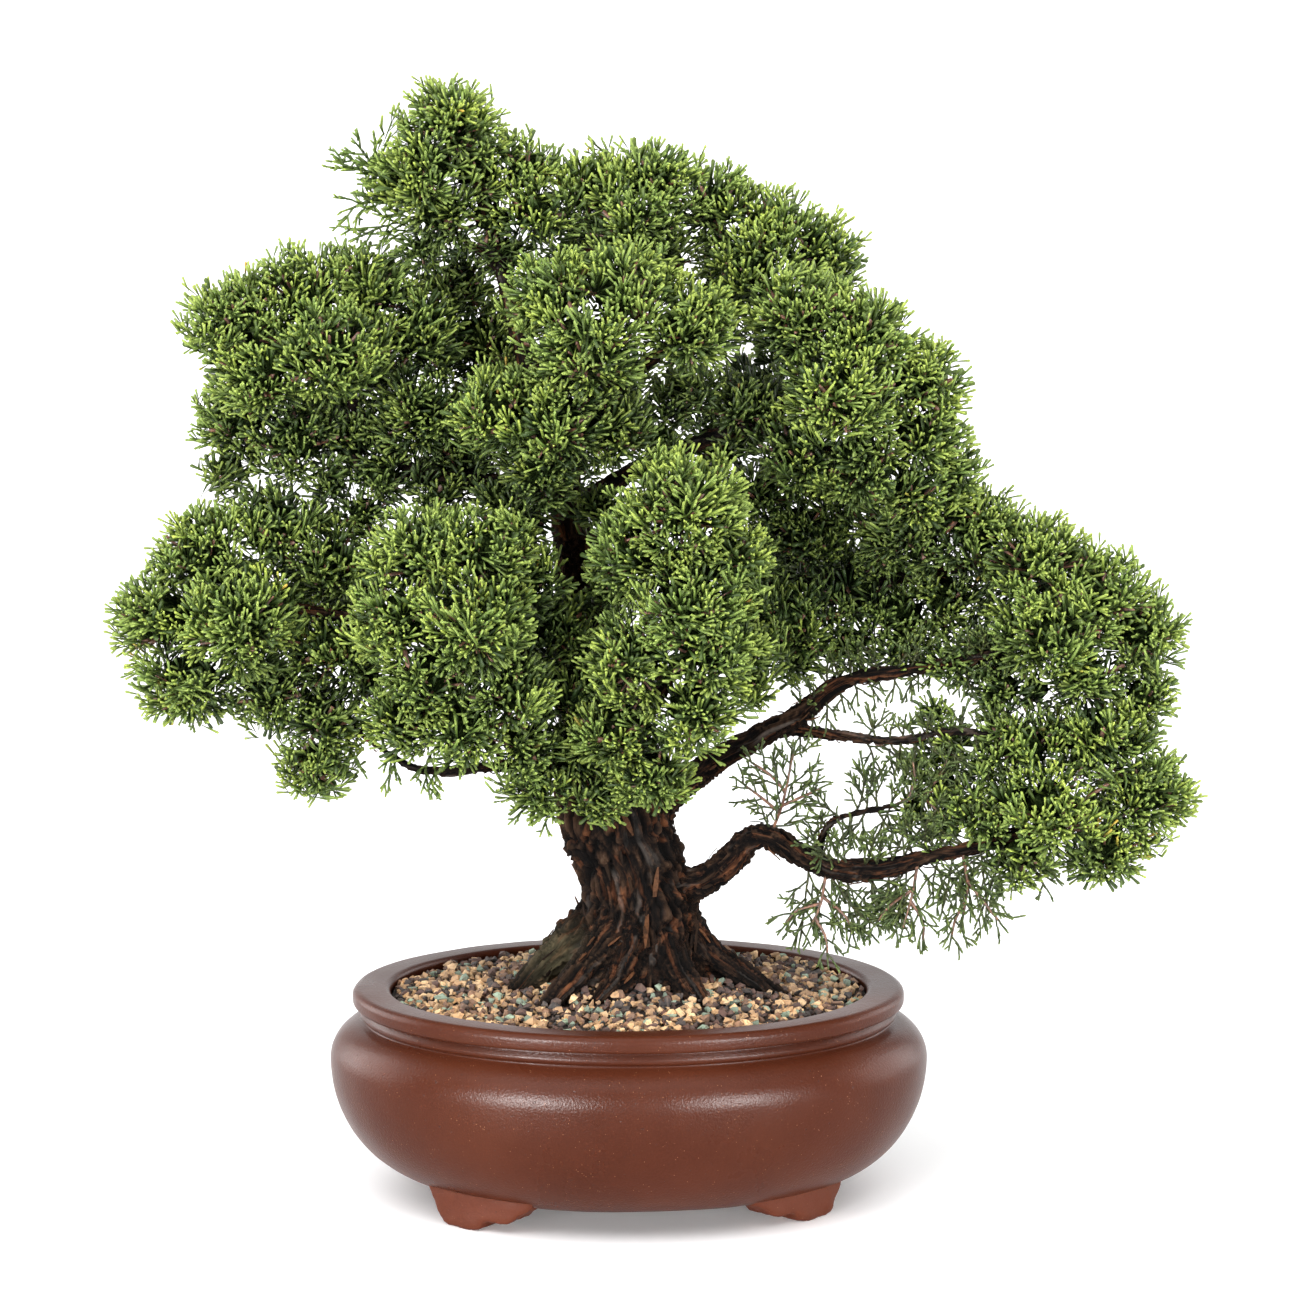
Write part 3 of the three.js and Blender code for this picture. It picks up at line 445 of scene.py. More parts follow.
def remeshed(thing, voxel, rounds):
    """Gives a mesh an even skin of small faces, softened in some rounds."""
    remesh = thing.modifiers.new("even", "REMESH")
    remesh.mode = "VOXEL"
    remesh.voxel_size = voxel * MM
    remesh.use_smooth_shade = True
    applied(thing)
    soften = thing.modifiers.new("soften", "SMOOTH")
    soften.iterations = rounds
    return applied(thing)


def finish_piece(thing, slot, nodes, *materials):
    for material in materials:
        thing.data.materials.append(material)
    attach(thing, "root")
    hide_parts(*nodes)


def even_directions(count, turn=0.0):
    """Directions spread evenly over a sphere."""
    i = np.arange(count) + 0.5
    height = 1 - 2 * i / count
    around = i * math.pi * (3 - math.sqrt(5)) + turn
    flat = np.sqrt(1 - height ** 2)
    return np.stack([flat * np.cos(around), flat * np.sin(around), height], axis=1)


class PieceParts:
    """Collects meshes with their material slots and named values, to be made into one piece."""

    def __init__(self, *names):
        self.points, self.faces, self.slots = [], [], []
        self.values = {name: [] for name in names}
        self.count = 0

    def add(self, points, faces, slot, *values):
        self.points.append(points)
        self.faces.append(faces + self.count)
        self.slots.append(np.full(len(faces), slot))
        for parts, value in zip(self.values.values(), values):
            parts.append(np.broadcast_to(np.asarray(value, float), len(points)))
        self.count += len(points)

    def piece(self, name, smooth=True):
        thing = triangle_object(name, np.vstack(self.points), np.vstack(self.faces), smooth)
        for value, parts in self.values.items():
            give(thing, value, np.concatenate(parts))
        thing.data.polygons.foreach_set("material_index", np.concatenate(self.slots).astype(np.int32))
        return thing


def smooth_line(points, step):
    """A curve through the points, sampled about every step millimetres, all columns alike."""
    points = np.array(points, float)
    padded = np.vstack([2 * points[0] - points[1], points, 2 * points[-1] - points[-2]])
    samples = []
    for i in range(1, len(padded) - 2):
        a, b, c, d = padded[i - 1:i + 3]
        count = max(2, int(round(np.linalg.norm((c - b)[:3]) / step)))
        t = (np.arange(count) / count)[:, None]
        bend = (c - a) * t + (2 * a - 5 * b + 4 * c - d) * t ** 2 + (3 * b - a - 3 * c + d) * t ** 3
        samples.append(b + bend / 2)
    return np.vstack([*samples, points[-1:]])


def closed_rows(rows, turns):
    """Triangles of rings of points, one ring a row, with one more point at each end."""
    i, j = np.meshgrid(np.arange(rows - 1), np.arange(turns), indexing="ij")
    a = i * turns + j
    b = i * turns + (j + 1) % turns
    c = a + turns
    d = b + turns
    ring = np.arange(turns)
    after = (ring + 1) % turns
    last = (rows - 1) * turns
    end = np.full(turns, rows * turns)
    return np.concatenate([
        np.stack([a, b, d], -1).reshape(-1, 3), np.stack([a, d, c], -1).reshape(-1, 3),
        np.stack([after, ring, end], -1), np.stack([last + ring, last + after, end + 1], -1),
    ])


def noise_at(points, scale, seed=0.0):
    """Smooth noise, about -1 to 1, at each point divided by scale."""
    return np.array([noise.noise(Vector(p) / scale + Vector((seed, seed * 1.7, -seed))) for p in points])


# Node materials

class Nodes:
    """Adds and links the nodes of one material or world."""

    def __init__(self, owner):
        owner.use_nodes = True
        self.tree = owner.node_tree

    def add(self, kind, **settings):
        node = self.tree.nodes.new(kind)
        for name, value in settings.items():
            if name in node.inputs:
                node.inputs[name].default_value = value
            else:
                setattr(node, name, value)
        return node

    def feed(self, socket, source):
        """Gives a socket the output of another node, a colour or a number."""
        if isinstance(source, bpy.types.NodeSocket):
            self.tree.links.new(source, socket)
        elif isinstance(source, tuple):
            socket.default_value = (*source, 1)
        else:
            socket.default_value = source

    def stored(self, name, output="Fac"):
        """What the mesh stores under a name at each of its points."""
        return self.add("ShaderNodeAttribute", attribute_name=name).outputs[output]

    def place(self, output="Object"):
        return self.add("ShaderNodeTexCoord").outputs[output]

    def ramp(self, value, *stops):
        node = self.add("ShaderNodeValToRGB")
        band = node.color_ramp.elements
        for element, (place, colour) in ((band[0], stops[0]), (band[1], stops[-1])):
            element.position = place
            element.color = (*colour, 1)
        for place, colour in stops[1:-1]:
            band.new(place).color = (*colour, 1)
        self.feed(node.inputs["Fac"], value)
        return node.outputs["Color"]

    def mix(self, share, a, b, way="MIX"):
        node = self.add("ShaderNodeMix", data_type="RGBA", blend_type=way)
        for index, source in ((0, share), (6, a), (7, b)):
            self.feed(node.inputs[index], source)
        return node.outputs[2]

    def times(self, a, b, more=0.0):
        """The product of two values, with a third one added to it."""
        node = self.add("ShaderNodeMath", operation="MULTIPLY_ADD")
        for socket, source in zip(node.inputs, (a, b, more)):
            self.feed(socket, source)
        return node.outputs[0]

    def ranged(self, value, low, high, start=0.0, end=1.0):
        """Moves the range from low to high onto the range from start to end."""
        node = self.add("ShaderNodeMapRange")
        names = ("Value", "From Min", "From Max", "To Min", "To Max")
        for name, source in zip(names, (value, low, high, start, end)):
            self.feed(node.inputs[name], source)
        return node.outputs["Result"]

    def noise(self, scale, detail=3.0, rough=0.55, vector=None):
        node = self.add("ShaderNodeTexNoise", Scale=scale, Detail=detail, Roughness=rough)
        self.feed(node.inputs["Vector"], self.place() if vector is None else vector)
        return node.outputs["Fac"]


class Look(Nodes):
    """A material with one shader."""

    def __init__(self, name):
        self.material = bpy.data.materials.new(name)
        super().__init__(self.material)
        self.shader = self.tree.nodes["Principled BSDF"]

    def bump(self, height, strength, distance, under=None):
        node = self.add("ShaderNodeBump", Strength=strength, Distance=distance)
        self.feed(node.inputs["Height"], height)
        if under is not None:
            self.feed(node.inputs["Normal"], under)
        self.feed(self.shader.inputs["Normal"], node.outputs["Normal"])
        return node.outputs["Normal"]

    def surface(self, colour, roughness, specular=0.5):
        """Sets colour, roughness and gloss, and returns the finished material."""
        sockets = self.shader.inputs
        self.feed(sockets["Base Color"], colour)
        self.feed(sockets["Roughness"], roughness)
        self.feed(sockets["Specular IOR Level"], specular)
        return self.material


def clay_material(name, dull, tint):
    """Satin brown clay with soft clouds, fine grain, pale specks and small pores."""
    look = Look(name)
    colour = look.ramp(
        look.noise(16, 4),
        (0.3, (0.051, 0.0115, 0.0044)), (0.5, (0.061, 0.0142, 0.0058)), (0.72, (0.075, 0.0188, 0.0080)),
    )
    grain = look.noise(900, 2)
    colour = look.mix(look.ranged(grain, 0.35, 0.7, 0, 0.4), colour, (0.082, 0.021, 0.010))
    colour = look.mix(1.0, colour, (tint, tint, tint), "MULTIPLY")
    cells = look.add("ShaderNodeTexVoronoi", Scale=640)
    look.feed(cells.inputs["Vector"], look.place())
    chosen = look.ranged(look.noise(260, 1), 0.58, 0.64)
    specks = look.times(look.ranged(cells.outputs["Distance"], 0.16, 0.08), chosen)
    colour = look.mix(specks, colour, (0.34, 0.15, 0.075))
    pores = look.ranged(look.noise(520, 1), 0.27, 0.22)
    colour = look.mix(look.times(pores, 0.5), colour, (0.03, 0.012, 0.008))
    fine = look.bump(grain, 0.6, 0.0003)
    look.bump(pores, 0.4 + dull, -0.0003, fine)
    roughness = look.ranged(look.noise(30, 4), 0.3, 0.7, 0.26 + dull, 0.33 + dull)
    return look.surface(colour, roughness, 0.09)


def leaf_material(name, deep, middle, tip, painted_shade_colour):
    """Scale foliage: dark at a twiglet's base, bright at its tip, and painted shade, cooler and darker, where
    little light falls.
    """
    look = Look(name)
    low = tuple(0.6 * m + 0.4 * d for m, d in zip(middle, deep))
    colour = look.ramp(look.stored("reach"), (0.0, deep), (0.32, low), (0.62, middle), (1.0, tip))
    # Painted shade: the less open a sprig's place, the more its colour goes to the shade colour.
    shade = look.ranged(look.stored("open"), 0.08, 0.55, 1.0, 0.0)
    colour = look.mix(look.times(shade, 0.85), colour, painted_shade_colour)
    tint = look.ramp(
        look.stored("tone"),
        (0.0, (0.62, 0.70, 0.66)), (0.5, (1.0, 1.0, 1.0)), (0.93, (1.35, 1.25, 0.95)),
        (0.965, (1.3, 1.2, 0.9)), (1.0, (2.4, 0.75, 0.45)),
    )
    colour = look.mix(1.0, colour, tint, "MULTIPLY")
    scales = look.noise(1500, 1)
    colour = look.mix(look.ranged(scales, 0.35, 0.65, 0.0, 0.35), colour, deep)
    look.bump(scales, 0.5, 0.0004)
    return look.surface(colour, 0.5, 0.13)


def core_material():
    look = Look("pad_core_painted_shade")
    # Near-black greens: the shade inside a pad, painted into the core's colour.
    tangle = look.noise(480, 4)
    colour = look.ramp(
        tangle, (0.38, (0.003, 0.005, 0.002)), (0.52, (0.012, 0.020, 0.006)), (0.66, (0.040, 0.058, 0.016)),
    )
    look.bump(tangle, 0.9, 0.002)
    return look.surface(colour, 1.0, 0.0)


def twig_material():
    look = Look("reddish_twigs")
    colour = look.ramp(
        look.noise(420), (0.3, (0.055, 0.022, 0.010)), (0.5, (0.16, 0.058, 0.024)), (0.7, (0.30, 0.12, 0.05)),
    )
    look.bump(look.noise(900, 2), 0.6, 0.0004)
    return look.surface(colour, 0.7)


def bark_material(name):
    """Fibrous bark: brown to grey on its strips, with orange-brown where it flaked, and near-black painted
    shade in its furrows.
    """
    look = Look(name)
    fibre = look.stored("fibre", "Vector")
    strands = look.noise(3.0, 5, 0.65, fibre)
    patches = look.noise(0.7, 3, 0.6, fibre)
    height = look.times(strands, 0.6, look.times(look.stored("raised"), 0.6))
    # The lower the bark lies, the darker its colour: painted shade in the furrows, near-black at the bottom.
    colour = look.ramp(
        height,
        (0.36, (0.0018, 0.0011, 0.0008)), (0.52, (0.0080, 0.0042, 0.0025)), (0.66, (0.028, 0.0142, 0.0078)),
        (0.80, (0.058, 0.031, 0.0175)), (0.98, (0.115, 0.070, 0.044)),
    )
    warm = look.ranged(patches, 0.55, 0.68)
    grey = look.ranged(look.noise(0.5, 3, 0.5, fibre), 0.58, 0.70, 0, 0.6)
    for share, shade in ((warm, (0.24, 0.085, 0.035)), (grey, (0.17, 0.15, 0.135)),
                         (look.stored("moss"), (0.155, 0.135, 0.075))):
        colour = look.mix(look.times(share, height), colour, shade)
    look.bump(strands, 1.0, 0.0016)
    return look.surface(colour, 0.86, 0.05)


def splinter_material():
    look = Look("bark_splinters")
    colour = look.ramp(
        look.stored("tone"),
        (0.0, (0.012, 0.0070, 0.0045)), (0.45, (0.034, 0.018, 0.010)), (0.7, (0.085, 0.038, 0.018)),
        (0.88, (0.16, 0.065, 0.028)), (1.0, (0.085, 0.066, 0.052)),
    )
    grain = look.noise(500)
    colour = look.mix(look.ranged(grain, 0.45, 0.7, 0, 0.7), colour, (0.012, 0.008, 0.006))
    look.bump(grain, 0.6, 0.0006)
    return look.surface(colour, 0.9, 0.05)


def gravel_material(name, colours):
    """Stones in a few kinds, each kind with its own plain band of the ramp."""
    look = Look(name)
    count = len(colours)
    bands = [((i + edge) / count, colour) for i, colour in enumerate(colours) for edge in (0.02, 0.98)]
    colour = look.ramp(look.stored("kind"), *bands)
    tint = look.ramp(
        look.stored("tone"), (0.0, (0.62, 0.60, 0.58)), (0.5, (0.95, 0.95, 0.95)), (1.0, (1.25, 1.22, 1.15)),
    )
    colour = look.mix(1.0, colour, tint, "MULTIPLY")
    stain = look.noise(420, 4, 0.65)
    colour = look.mix(look.ranged(stain, 0.5, 0.72, 0, 0.75), colour, (0.13, 0.075, 0.045))
    look.bump(look.noise(800), 0.7, 0.0005)
    return look.surface(colour, 0.88)


def soil_material():
    look = Look("dark_soil")
    crumbs = look.noise(300, 5, 0.7)
    colour = look.ramp(
        crumbs, (0.3, (0.006, 0.004, 0.003)), (0.5, (0.028, 0.016, 0.010)), (0.68, (0.075, 0.042, 0.026)),
    )
    look.bump(crumbs, 1.0, 0.0018)
    return look.surface(colour, 0.95)


def screen_material():
    look = Look("screen_plastic")
    streaks = look.noise(500)
    colour = look.ramp(streaks, (0.3, (0.010, 0.010, 0.009)), (0.7, (0.022, 0.022, 0.019)))
    look.bump(streaks, 0.3, 0.0003)
    return look.surface(colour, look.ranged(streaks, 0.3, 0.7, 0.5, 0.7))


def floor_material():
    look = Look("pale_floor")
    look.feed(look.shader.inputs["Emission Color"], (1.0, 1.0, 1.0))
    look.feed(look.shader.inputs["Emission Strength"], 0.14)
    return look.surface((0.96, 0.96, 0.965), 0.6, 0.2)


# The pot

def arc(centre, half, height, start, end, steps):
    """Points on an ellipse's arc, from start to end in quarter turns."""
    angles = np.linspace(start, end, steps + 1) * math.pi / 2
    return np.stack([centre[0] + half * np.cos(angles), centre[1] + height * np.sin(angles)], axis=1)


def line(*points, steps=1):
    points = np.array(points, float)
    parts = [points[i] + (points[i + 1] - points[i]) * np.linspace(0, 1, steps, endpoint=False)[:, None]
             for i in range(len(points) - 1)]
    return np.vstack([*parts, points[-1:]])


def inner_outline(gap):
    """The inside of the bowl, or the soil's side where there is a gap."""
    floor = FOOT_HEIGHT + WALL - 1 + gap
    belly = BELLY_HALF - WALL - gap
    corner = UNDERSIDE_HALF - WALL
    throat = MOUTH_HALF + 1 - gap
    low = arc((corner, BELLY_HEIGHT), belly - corner, BELLY_HEIGHT - floor, -1, 0, 10)
    high = arc((throat, BELLY_HEIGHT), belly - throat, THROAT_RISE, 0, 1, 10)
    return np.vstack([low, high[1:]])


def outer_outline():
    """The bowl's outside: belly, neck ring below the rim band, and over the rounded rim."""
    flare = BELLY_HALF - UNDERSIDE_HALF
    band = POT_HEIGHT - RIM_BAND
    shoulder = BELLY_HALF - SHOULDER_DROP
    neck = NECK_HALF - 1.2
    return np.vstack([
        arc((UNDERSIDE_HALF, BELLY_HEIGHT), flare, BELLY_HEIGHT - FOOT_HEIGHT, -1, 0, 34),
        arc((shoulder, BELLY_HEIGHT), SHOULDER_DROP, SHOULDER_DROP - 1.8, 0.04, 0.82, 20),
        arc((neck + 1.6, NECK_GROOVE - 0.3), 0.9, 0.8, -1.35, -2.4, 5),
        arc((neck + 0.9, NECK_GROOVE + 2.2), 1.6, 1.9, -0.7, 0.35, 7),
        line((neck + 1.3, NECK_GROOVE + 4.8), (neck + 0.7, band - 0.9), steps=3),
        arc((neck + 1.5, band - 0.5), 0.7, 0.7, -2.0, -2.9, 4),
        arc((RIM_HALF - 1.8, band + 1.9), 1.8, 1.9, -1, 0, 6),
        arc((RIM_HALF - 4.4, POT_HEIGHT - 4.0), 4.4, 4.0, 0.04, 1, 11),
        arc((MOUTH_HALF + 3.2, POT_HEIGHT - 3.0), 3.2, 3.0, 1, 2, 8),
    ])


def oval_shell(name, outline, turns):
    """A profile turned round the pot's oval, closed at both ends by a middle point."""
    angles = np.arange(turns) / turns * 2 * math.pi
    reach = outline[:, 0][:, None]
    points = np.stack([
        reach * np.cos(angles), reach * DEPTH_RATIO * np.sin(angles),
        np.repeat(outline[:, 1][:, None], turns, axis=1),
    ], axis=-1).reshape(-1, 3)
    points = np.vstack([points, [0, 0, outline[0, 1]], [0, 0, outline[-1, 1]]])
    return triangle_object(name, points, closed_rows(len(outline), turns))


def make_pot(clay):
    inside = inner_outline(0)[::-1]
    bowl = oval_shell("pot_bowl", np.vstack([outer_outline(), inside]), BOWL_TURNS)
    points = points_of(bowl)
    wobble = noise_at(points, 46) * 0.35 + noise_at(points, 14, 5.0) * 0.12
    set_points(bowl, points + normals_of(bowl) * wobble[:, None])
    cut_drains(bowl)
    finish_piece(bowl, "pot_clay", ["pot"], clay)


def cut_drains(bowl):
    """Two drain holes through the floor of the bowl."""
    plugs = []
    radius = DRAIN_RADIUS * MM
    for side in (-1, 1):
        solid = bmesh.new()
        bmesh.ops.create_cone(solid, cap_ends=True, segments=40, radius1=radius, radius2=radius,
                              depth=40 * MM)
        plug = solid_object("plug", solid)
        plug.location = row_points((side * DRAIN_X, 0, FOOT_HEIGHT))
        cut = bowl.modifiers.new("drain", "BOOLEAN")
        cut.operation = "DIFFERENCE"
        cut.solver = "EXACT"
        cut.object = plug
        plugs.append(plug)
    applied(bowl)
    for plug in plugs:
        bpy.data.objects.remove(plug)


def foot_outline():
    """The side of a bracket foot: a steep outer side, a rounded sole, a notch and a long lobe."""
    return np.vstack([
        line((-1, 27), (1, 20)), line((4, 13), (8, 5.5)),
        arc((14.5, 4.5), 5, 4.5, -1.75, -1, 6), arc((28, 4.0), 5.2, 4.0, -1, -0.2, 6),
        line((33.6, 5.2), (34.6, 5.6)), arc((41, 9.2), 8.5, 4.0, -1.45, -0.35, 7),
        line((50, 9.2), (57, 14), (60, 27)),
    ])


def bowl_height(reach):
    """Height of the bowl's underside at a distance from its middle, along the long way."""
    beyond = np.clip((reach - UNDERSIDE_HALF) / (BELLY_HALF - UNDERSIDE_HALF), 0, 0.999)
    return BELLY_HEIGHT - (BELLY_HEIGHT - FOOT_HEIGHT) * np.sqrt(1 - beyond ** 2)


def foot_block(name):
    """The bracket before it is bent: its side view, drawn out to the foot's depth."""
    outline = foot_outline()
    count = len(outline)
    solid = bmesh.new()
    rings = [[solid.verts.new(row_points((x, depth, z))) for x, z in outline] for depth in (0, FOOT_DEPTH)]
    solid.faces.new(rings[0])
    solid.faces.new(rings[1][::-1])
    for i in range(count):
        j = (i + 1) % count
        solid.faces.new([rings[0][j], rings[0][i], rings[1][i], rings[1][j]])
    bmesh.ops.recalc_face_normals(solid, faces=solid.faces)
    return remeshed(solid_object(name, solid), FOOT_VOXEL, 4)


def make_foot(name, side_x, side_y, clay):
    """A bracket that curves with the bowl and leans in towards its sole."""
    foot = foot_block(name)
    points = points_of(foot)
    lumps = noise_at(points, 9, side_x + 2.2 * side_y) * 0.9 + noise_at(points, 3.2, 4 + side_x) * 0.4
    points += normals_of(foot) * lumps[:, None]
    inward = points[:, 1] + FOOT_LEAN * (1 - np.clip(points[:, 2] / 24, 0, 1))
    start = FOOT_START + points[:, 0] * FOOT_SPREAD
    ring = FOOT_EDGE - inward
    flat_x = side_x * ring * np.cos(start)
    flat_y = side_y * ring * DEPTH_RATIO * np.sin(start)
    x = flat_x * math.cos(FOOT_TWIST) - flat_y * math.sin(FOOT_TWIST)
    y = flat_x * math.sin(FOOT_TWIST) + flat_y * math.cos(FOOT_TWIST)
    reach = np.hypot(x, y / DEPTH_RATIO)
    z = np.minimum(np.maximum(points[:, 2], 0.02), bowl_height(reach) + 2.5)
    set_points(foot, np.stack([x, y, z], axis=1))
    if side_x * side_y < 0:
        foot.data.flip_normals()
    foot.data.shade_smooth()
    finish_piece(foot, "pot_clay", ["pot"], clay)


def make_feet(clay):
    corners = {"front_left": (-1, -1), "front_right": (1, -1), "back_right": (1, 1), "back_left": (-1, 1)}
    for name, sides in corners.items():
        make_foot(f"pot_foot_{name}", *sides, clay)


# The soil and the gravel on it

def soil_height(x, y):
    away = np.hypot(x - TRUNK_FOOT[0], y - TRUNK_FOOT[1])
    return SOIL_EDGE + MOUND_RISE * np.exp(-(away / MOUND_REACH) ** 2)


def make_soil(soil):
    rings = np.linspace(MOUTH_HALF - SOIL_GAP, 3, 28)
    top = np.stack([rings, np.full(len(rings), SOIL_EDGE)], axis=1)
    bed = oval_shell("soil_bed", np.vstack([inner_outline(SOIL_GAP), top]), SOIL_TURNS)
    points = points_of(bed)
    upper = points[:, 2] > SOIL_EDGE - 0.01
    surface = points[upper]
    relief = noise_at(surface, 7) * 1.1 + noise_at(surface, 2.5, 3.0) * 0.6 - 0.8
    points[upper, 2] = soil_height(surface[:, 0], surface[:, 1]) + relief
    set_points(bed, points)
    finish_piece(bed, "grit", ["soil"], soil)


def hull_templates(count, corners):
    """Angular stones of unit size, each the hull of a few random points on a ball."""
    stones = []
    for _ in range(count):
        stone = bmesh.new()
        places = unit(rng.normal(size=(corners, 3))) * rng.uniform(0.82, 1.05, (corners, 1))
        for place in places:
            stone.verts.new(place)
        made = bmesh.ops.convex_hull(stone, input=stone.verts)
        loose = [v for v in made["geom_interior"] if isinstance(v, bmesh.types.BMVert)]
        bmesh.ops.delete(stone, geom=loose, context="VERTS")
        bmesh.ops.triangulate(stone, faces=stone.faces)
        bmesh.ops.recalc_face_normals(stone, faces=stone.faces)
        stone.verts.index_update()
        points = np.array([v.co for v in stone.verts])
        faces = np.array([[v.index for v in face.verts] for face in stone.faces])
        stones.append((points, faces))
        stone.free()
    return stones


def random_turns(count):
    """Random rotations as matrices."""
    q = unit(rng.normal(size=(count, 4)))
    w, x, y, z = q.T
    return np.stack([
        1 - 2 * (y * y + z * z), 2 * (x * y - z * w), 2 * (x * z + y * w),
        2 * (x * y + z * w), 1 - 2 * (x * x + z * z), 2 * (y * z - x * w),
        2 * (x * z - y * w), 2 * (y * z + x * w), 1 - 2 * (x * x + y * y),
    ], axis=1).reshape(-1, 3, 3)


def strew(name, material, count, stones, size, lift, kinds, wood):
    """Scatters stones over the soil, clear of the wood, as one piece."""
    reach = MOUTH_HALF - 2.5
    spots = rng.uniform(-1, 1, (count * 2, 2))
    spots = spots[np.hypot(*spots.T) < 1][:count] * (reach, reach * DEPTH_RATIO)
    half = rng.uniform(*size, (len(spots), 1)) * rng.uniform(0.72, 1.15, (len(spots), 3))
    middle = np.column_stack([spots, soil_height(*spots.T) + half.mean(1) * rng.uniform(*lift, len(spots))])
    kept = [i for i in range(len(middle)) if wood.misses(middle[i], half[i].max())]
    middle, half = middle[kept], half[kept]
    turns = random_turns(len(middle))
    chosen = rng.integers(0, len(stones), len(middle))
    kind_of = rng.choice(len(kinds), len(middle), p=kinds)
    damp = noise_at(middle * (1, 1, 0), 20, 31.0) + 0.5 * noise_at(middle * (1, 1, 0), 8, 37.0)
    dark = (damp > 0.22) & (rng.random(len(middle)) < 0.75)
    kind_of[dark] = len(kinds) - 1 - rng.integers(0, 2, dark.sum())
    tone_of = rng.random(len(middle))
    parts = PieceParts("kind", "tone")
    for i, which in enumerate(chosen):
        points, faces = stones[which]
        placed = (turns[i] @ (points * half[i]).T).T * (1, 1, 0.82) + middle[i]
        parts.add(placed, faces, 0, (kind_of[i] + 0.5) / len(kinds), tone_of[i])
    finish_piece(parts.piece(name, smooth=False), "grit", ["soil"], material)


def make_gravel(wood):
    gravel = gravel_material("gravel", [
        (0.54, 0.315, 0.15), (0.82, 0.54, 0.285), (0.28, 0.37, 0.27), (0.24, 0.12, 0.060),
        (0.085, 0.032, 0.018), (0.026, 0.014, 0.010),
    ])
    crumb = gravel_material("dark_crumbs", [
        (0.24, 0.14, 0.080), (0.070, 0.030, 0.018), (0.022, 0.013, 0.010),
    ])
    strew("gravel", gravel, GRAIN_COUNT, hull_templates(26, 10), (1.5, 3.5), (-0.2, 0.9),
          (0.30, 0.20, 0.13, 0.17, 0.13, 0.07), wood)
    strew("soil_crumbs", crumb, CRUMB_COUNT, hull_templates(12, 9), (0.6, 1.7), (0.2, 1.8),
          (0.20, 0.38, 0.42), wood)


# The wood

class Wood:
    """Sampled places on the wood's centre lines, and a search for the one whose bark is nearest."""

    def __init__(self, lines):
        self.centres = np.vstack([line[:, :3] for line in lines])
        self.radii = np.concatenate([line[:, 3] for line in lines])
        self.tangents = np.vstack([unit(np.gradient(line[:, :3], axis=0)) for line in lines])
        along = []
        count = 0
        for line in lines:
            steps = np.linalg.norm(np.diff(line[:, :3], axis=0), axis=1)
            count += len(line)
            along.append(np.concatenate([[0], np.cumsum(steps)]) + LINE_SHIFT * count)
        self.along = np.concatenate(along)
        self.plant_tree(12)

    def plant_tree(self, sides):
        """Puts a ring of places on the bark round each sample into a search tree."""
        angles = np.arange(sides) / sides * 2 * math.pi
        self.sides = sides
        self.tree = KDTree(len(self.centres) * sides)
        for i, (centre, radius, tangent) in enumerate(zip(self.centres, self.radii, self.tangents)):
            side = unit(np.cross(tangent, (0.31, 0.9, 0.29)))
            across = np.cross(tangent, side)
            ring = np.outer(np.cos(angles), side) + np.outer(np.sin(angles), across)
            for k, place in enumerate(centre + ring * radius):
                self.tree.insert(place, i * sides + k)
        self.tree.balance()

    def nearest(self, place):
        return self.tree.find(Vector(place))[1] // self.sides

    def misses(self, place, size):
        """True where a stone of this size stays out of the trunk and roots."""
        i = self.nearest(place)
        return np.linalg.norm(place - self.centres[i]) > self.radii[i] - size * 0.2


def tube(samples, sides, flute=0.0):
    """A closed tube round sampled points, with a section that swells in a few lobes."""
    centres, radii = samples[:, :3], samples[:, 3]
    tangents = unit(np.gradient(centres, axis=0))
    side = unit(np.cross(tangents[0], (0.3, 0.9, 0.2)))
    angles = np.arange(sides) / sides * 2 * math.pi
    points = []
    for i, tangent in enumerate(tangents):
        side = unit(side - tangent * (side @ tangent))
        across = np.cross(tangent, side)
        lobes = 1 + flute * (np.cos(3 * angles + 0.02 * centres[i, 2]) + 0.7 * np.cos(5 * angles + i * 0.05))
        ring = np.outer(np.cos(angles) * lobes, side) + np.outer(np.sin(angles) * lobes, across)
        points.append(centres[i] + ring * radii[i])
    start = centres[:1] - tangents[:1] * radii[0] * 0.4
    end = centres[-1:] + tangents[-1:] * radii[-1]
    return np.vstack([*points, start, end]), closed_rows(len(points), sides)


def joined_tubes(name, lines, sides, flutes):
    parts = PieceParts()
    for samples, flute in zip(lines, flutes):
        parts.add(*tube(samples, sides, flute), 0)
    return parts.piece(name)


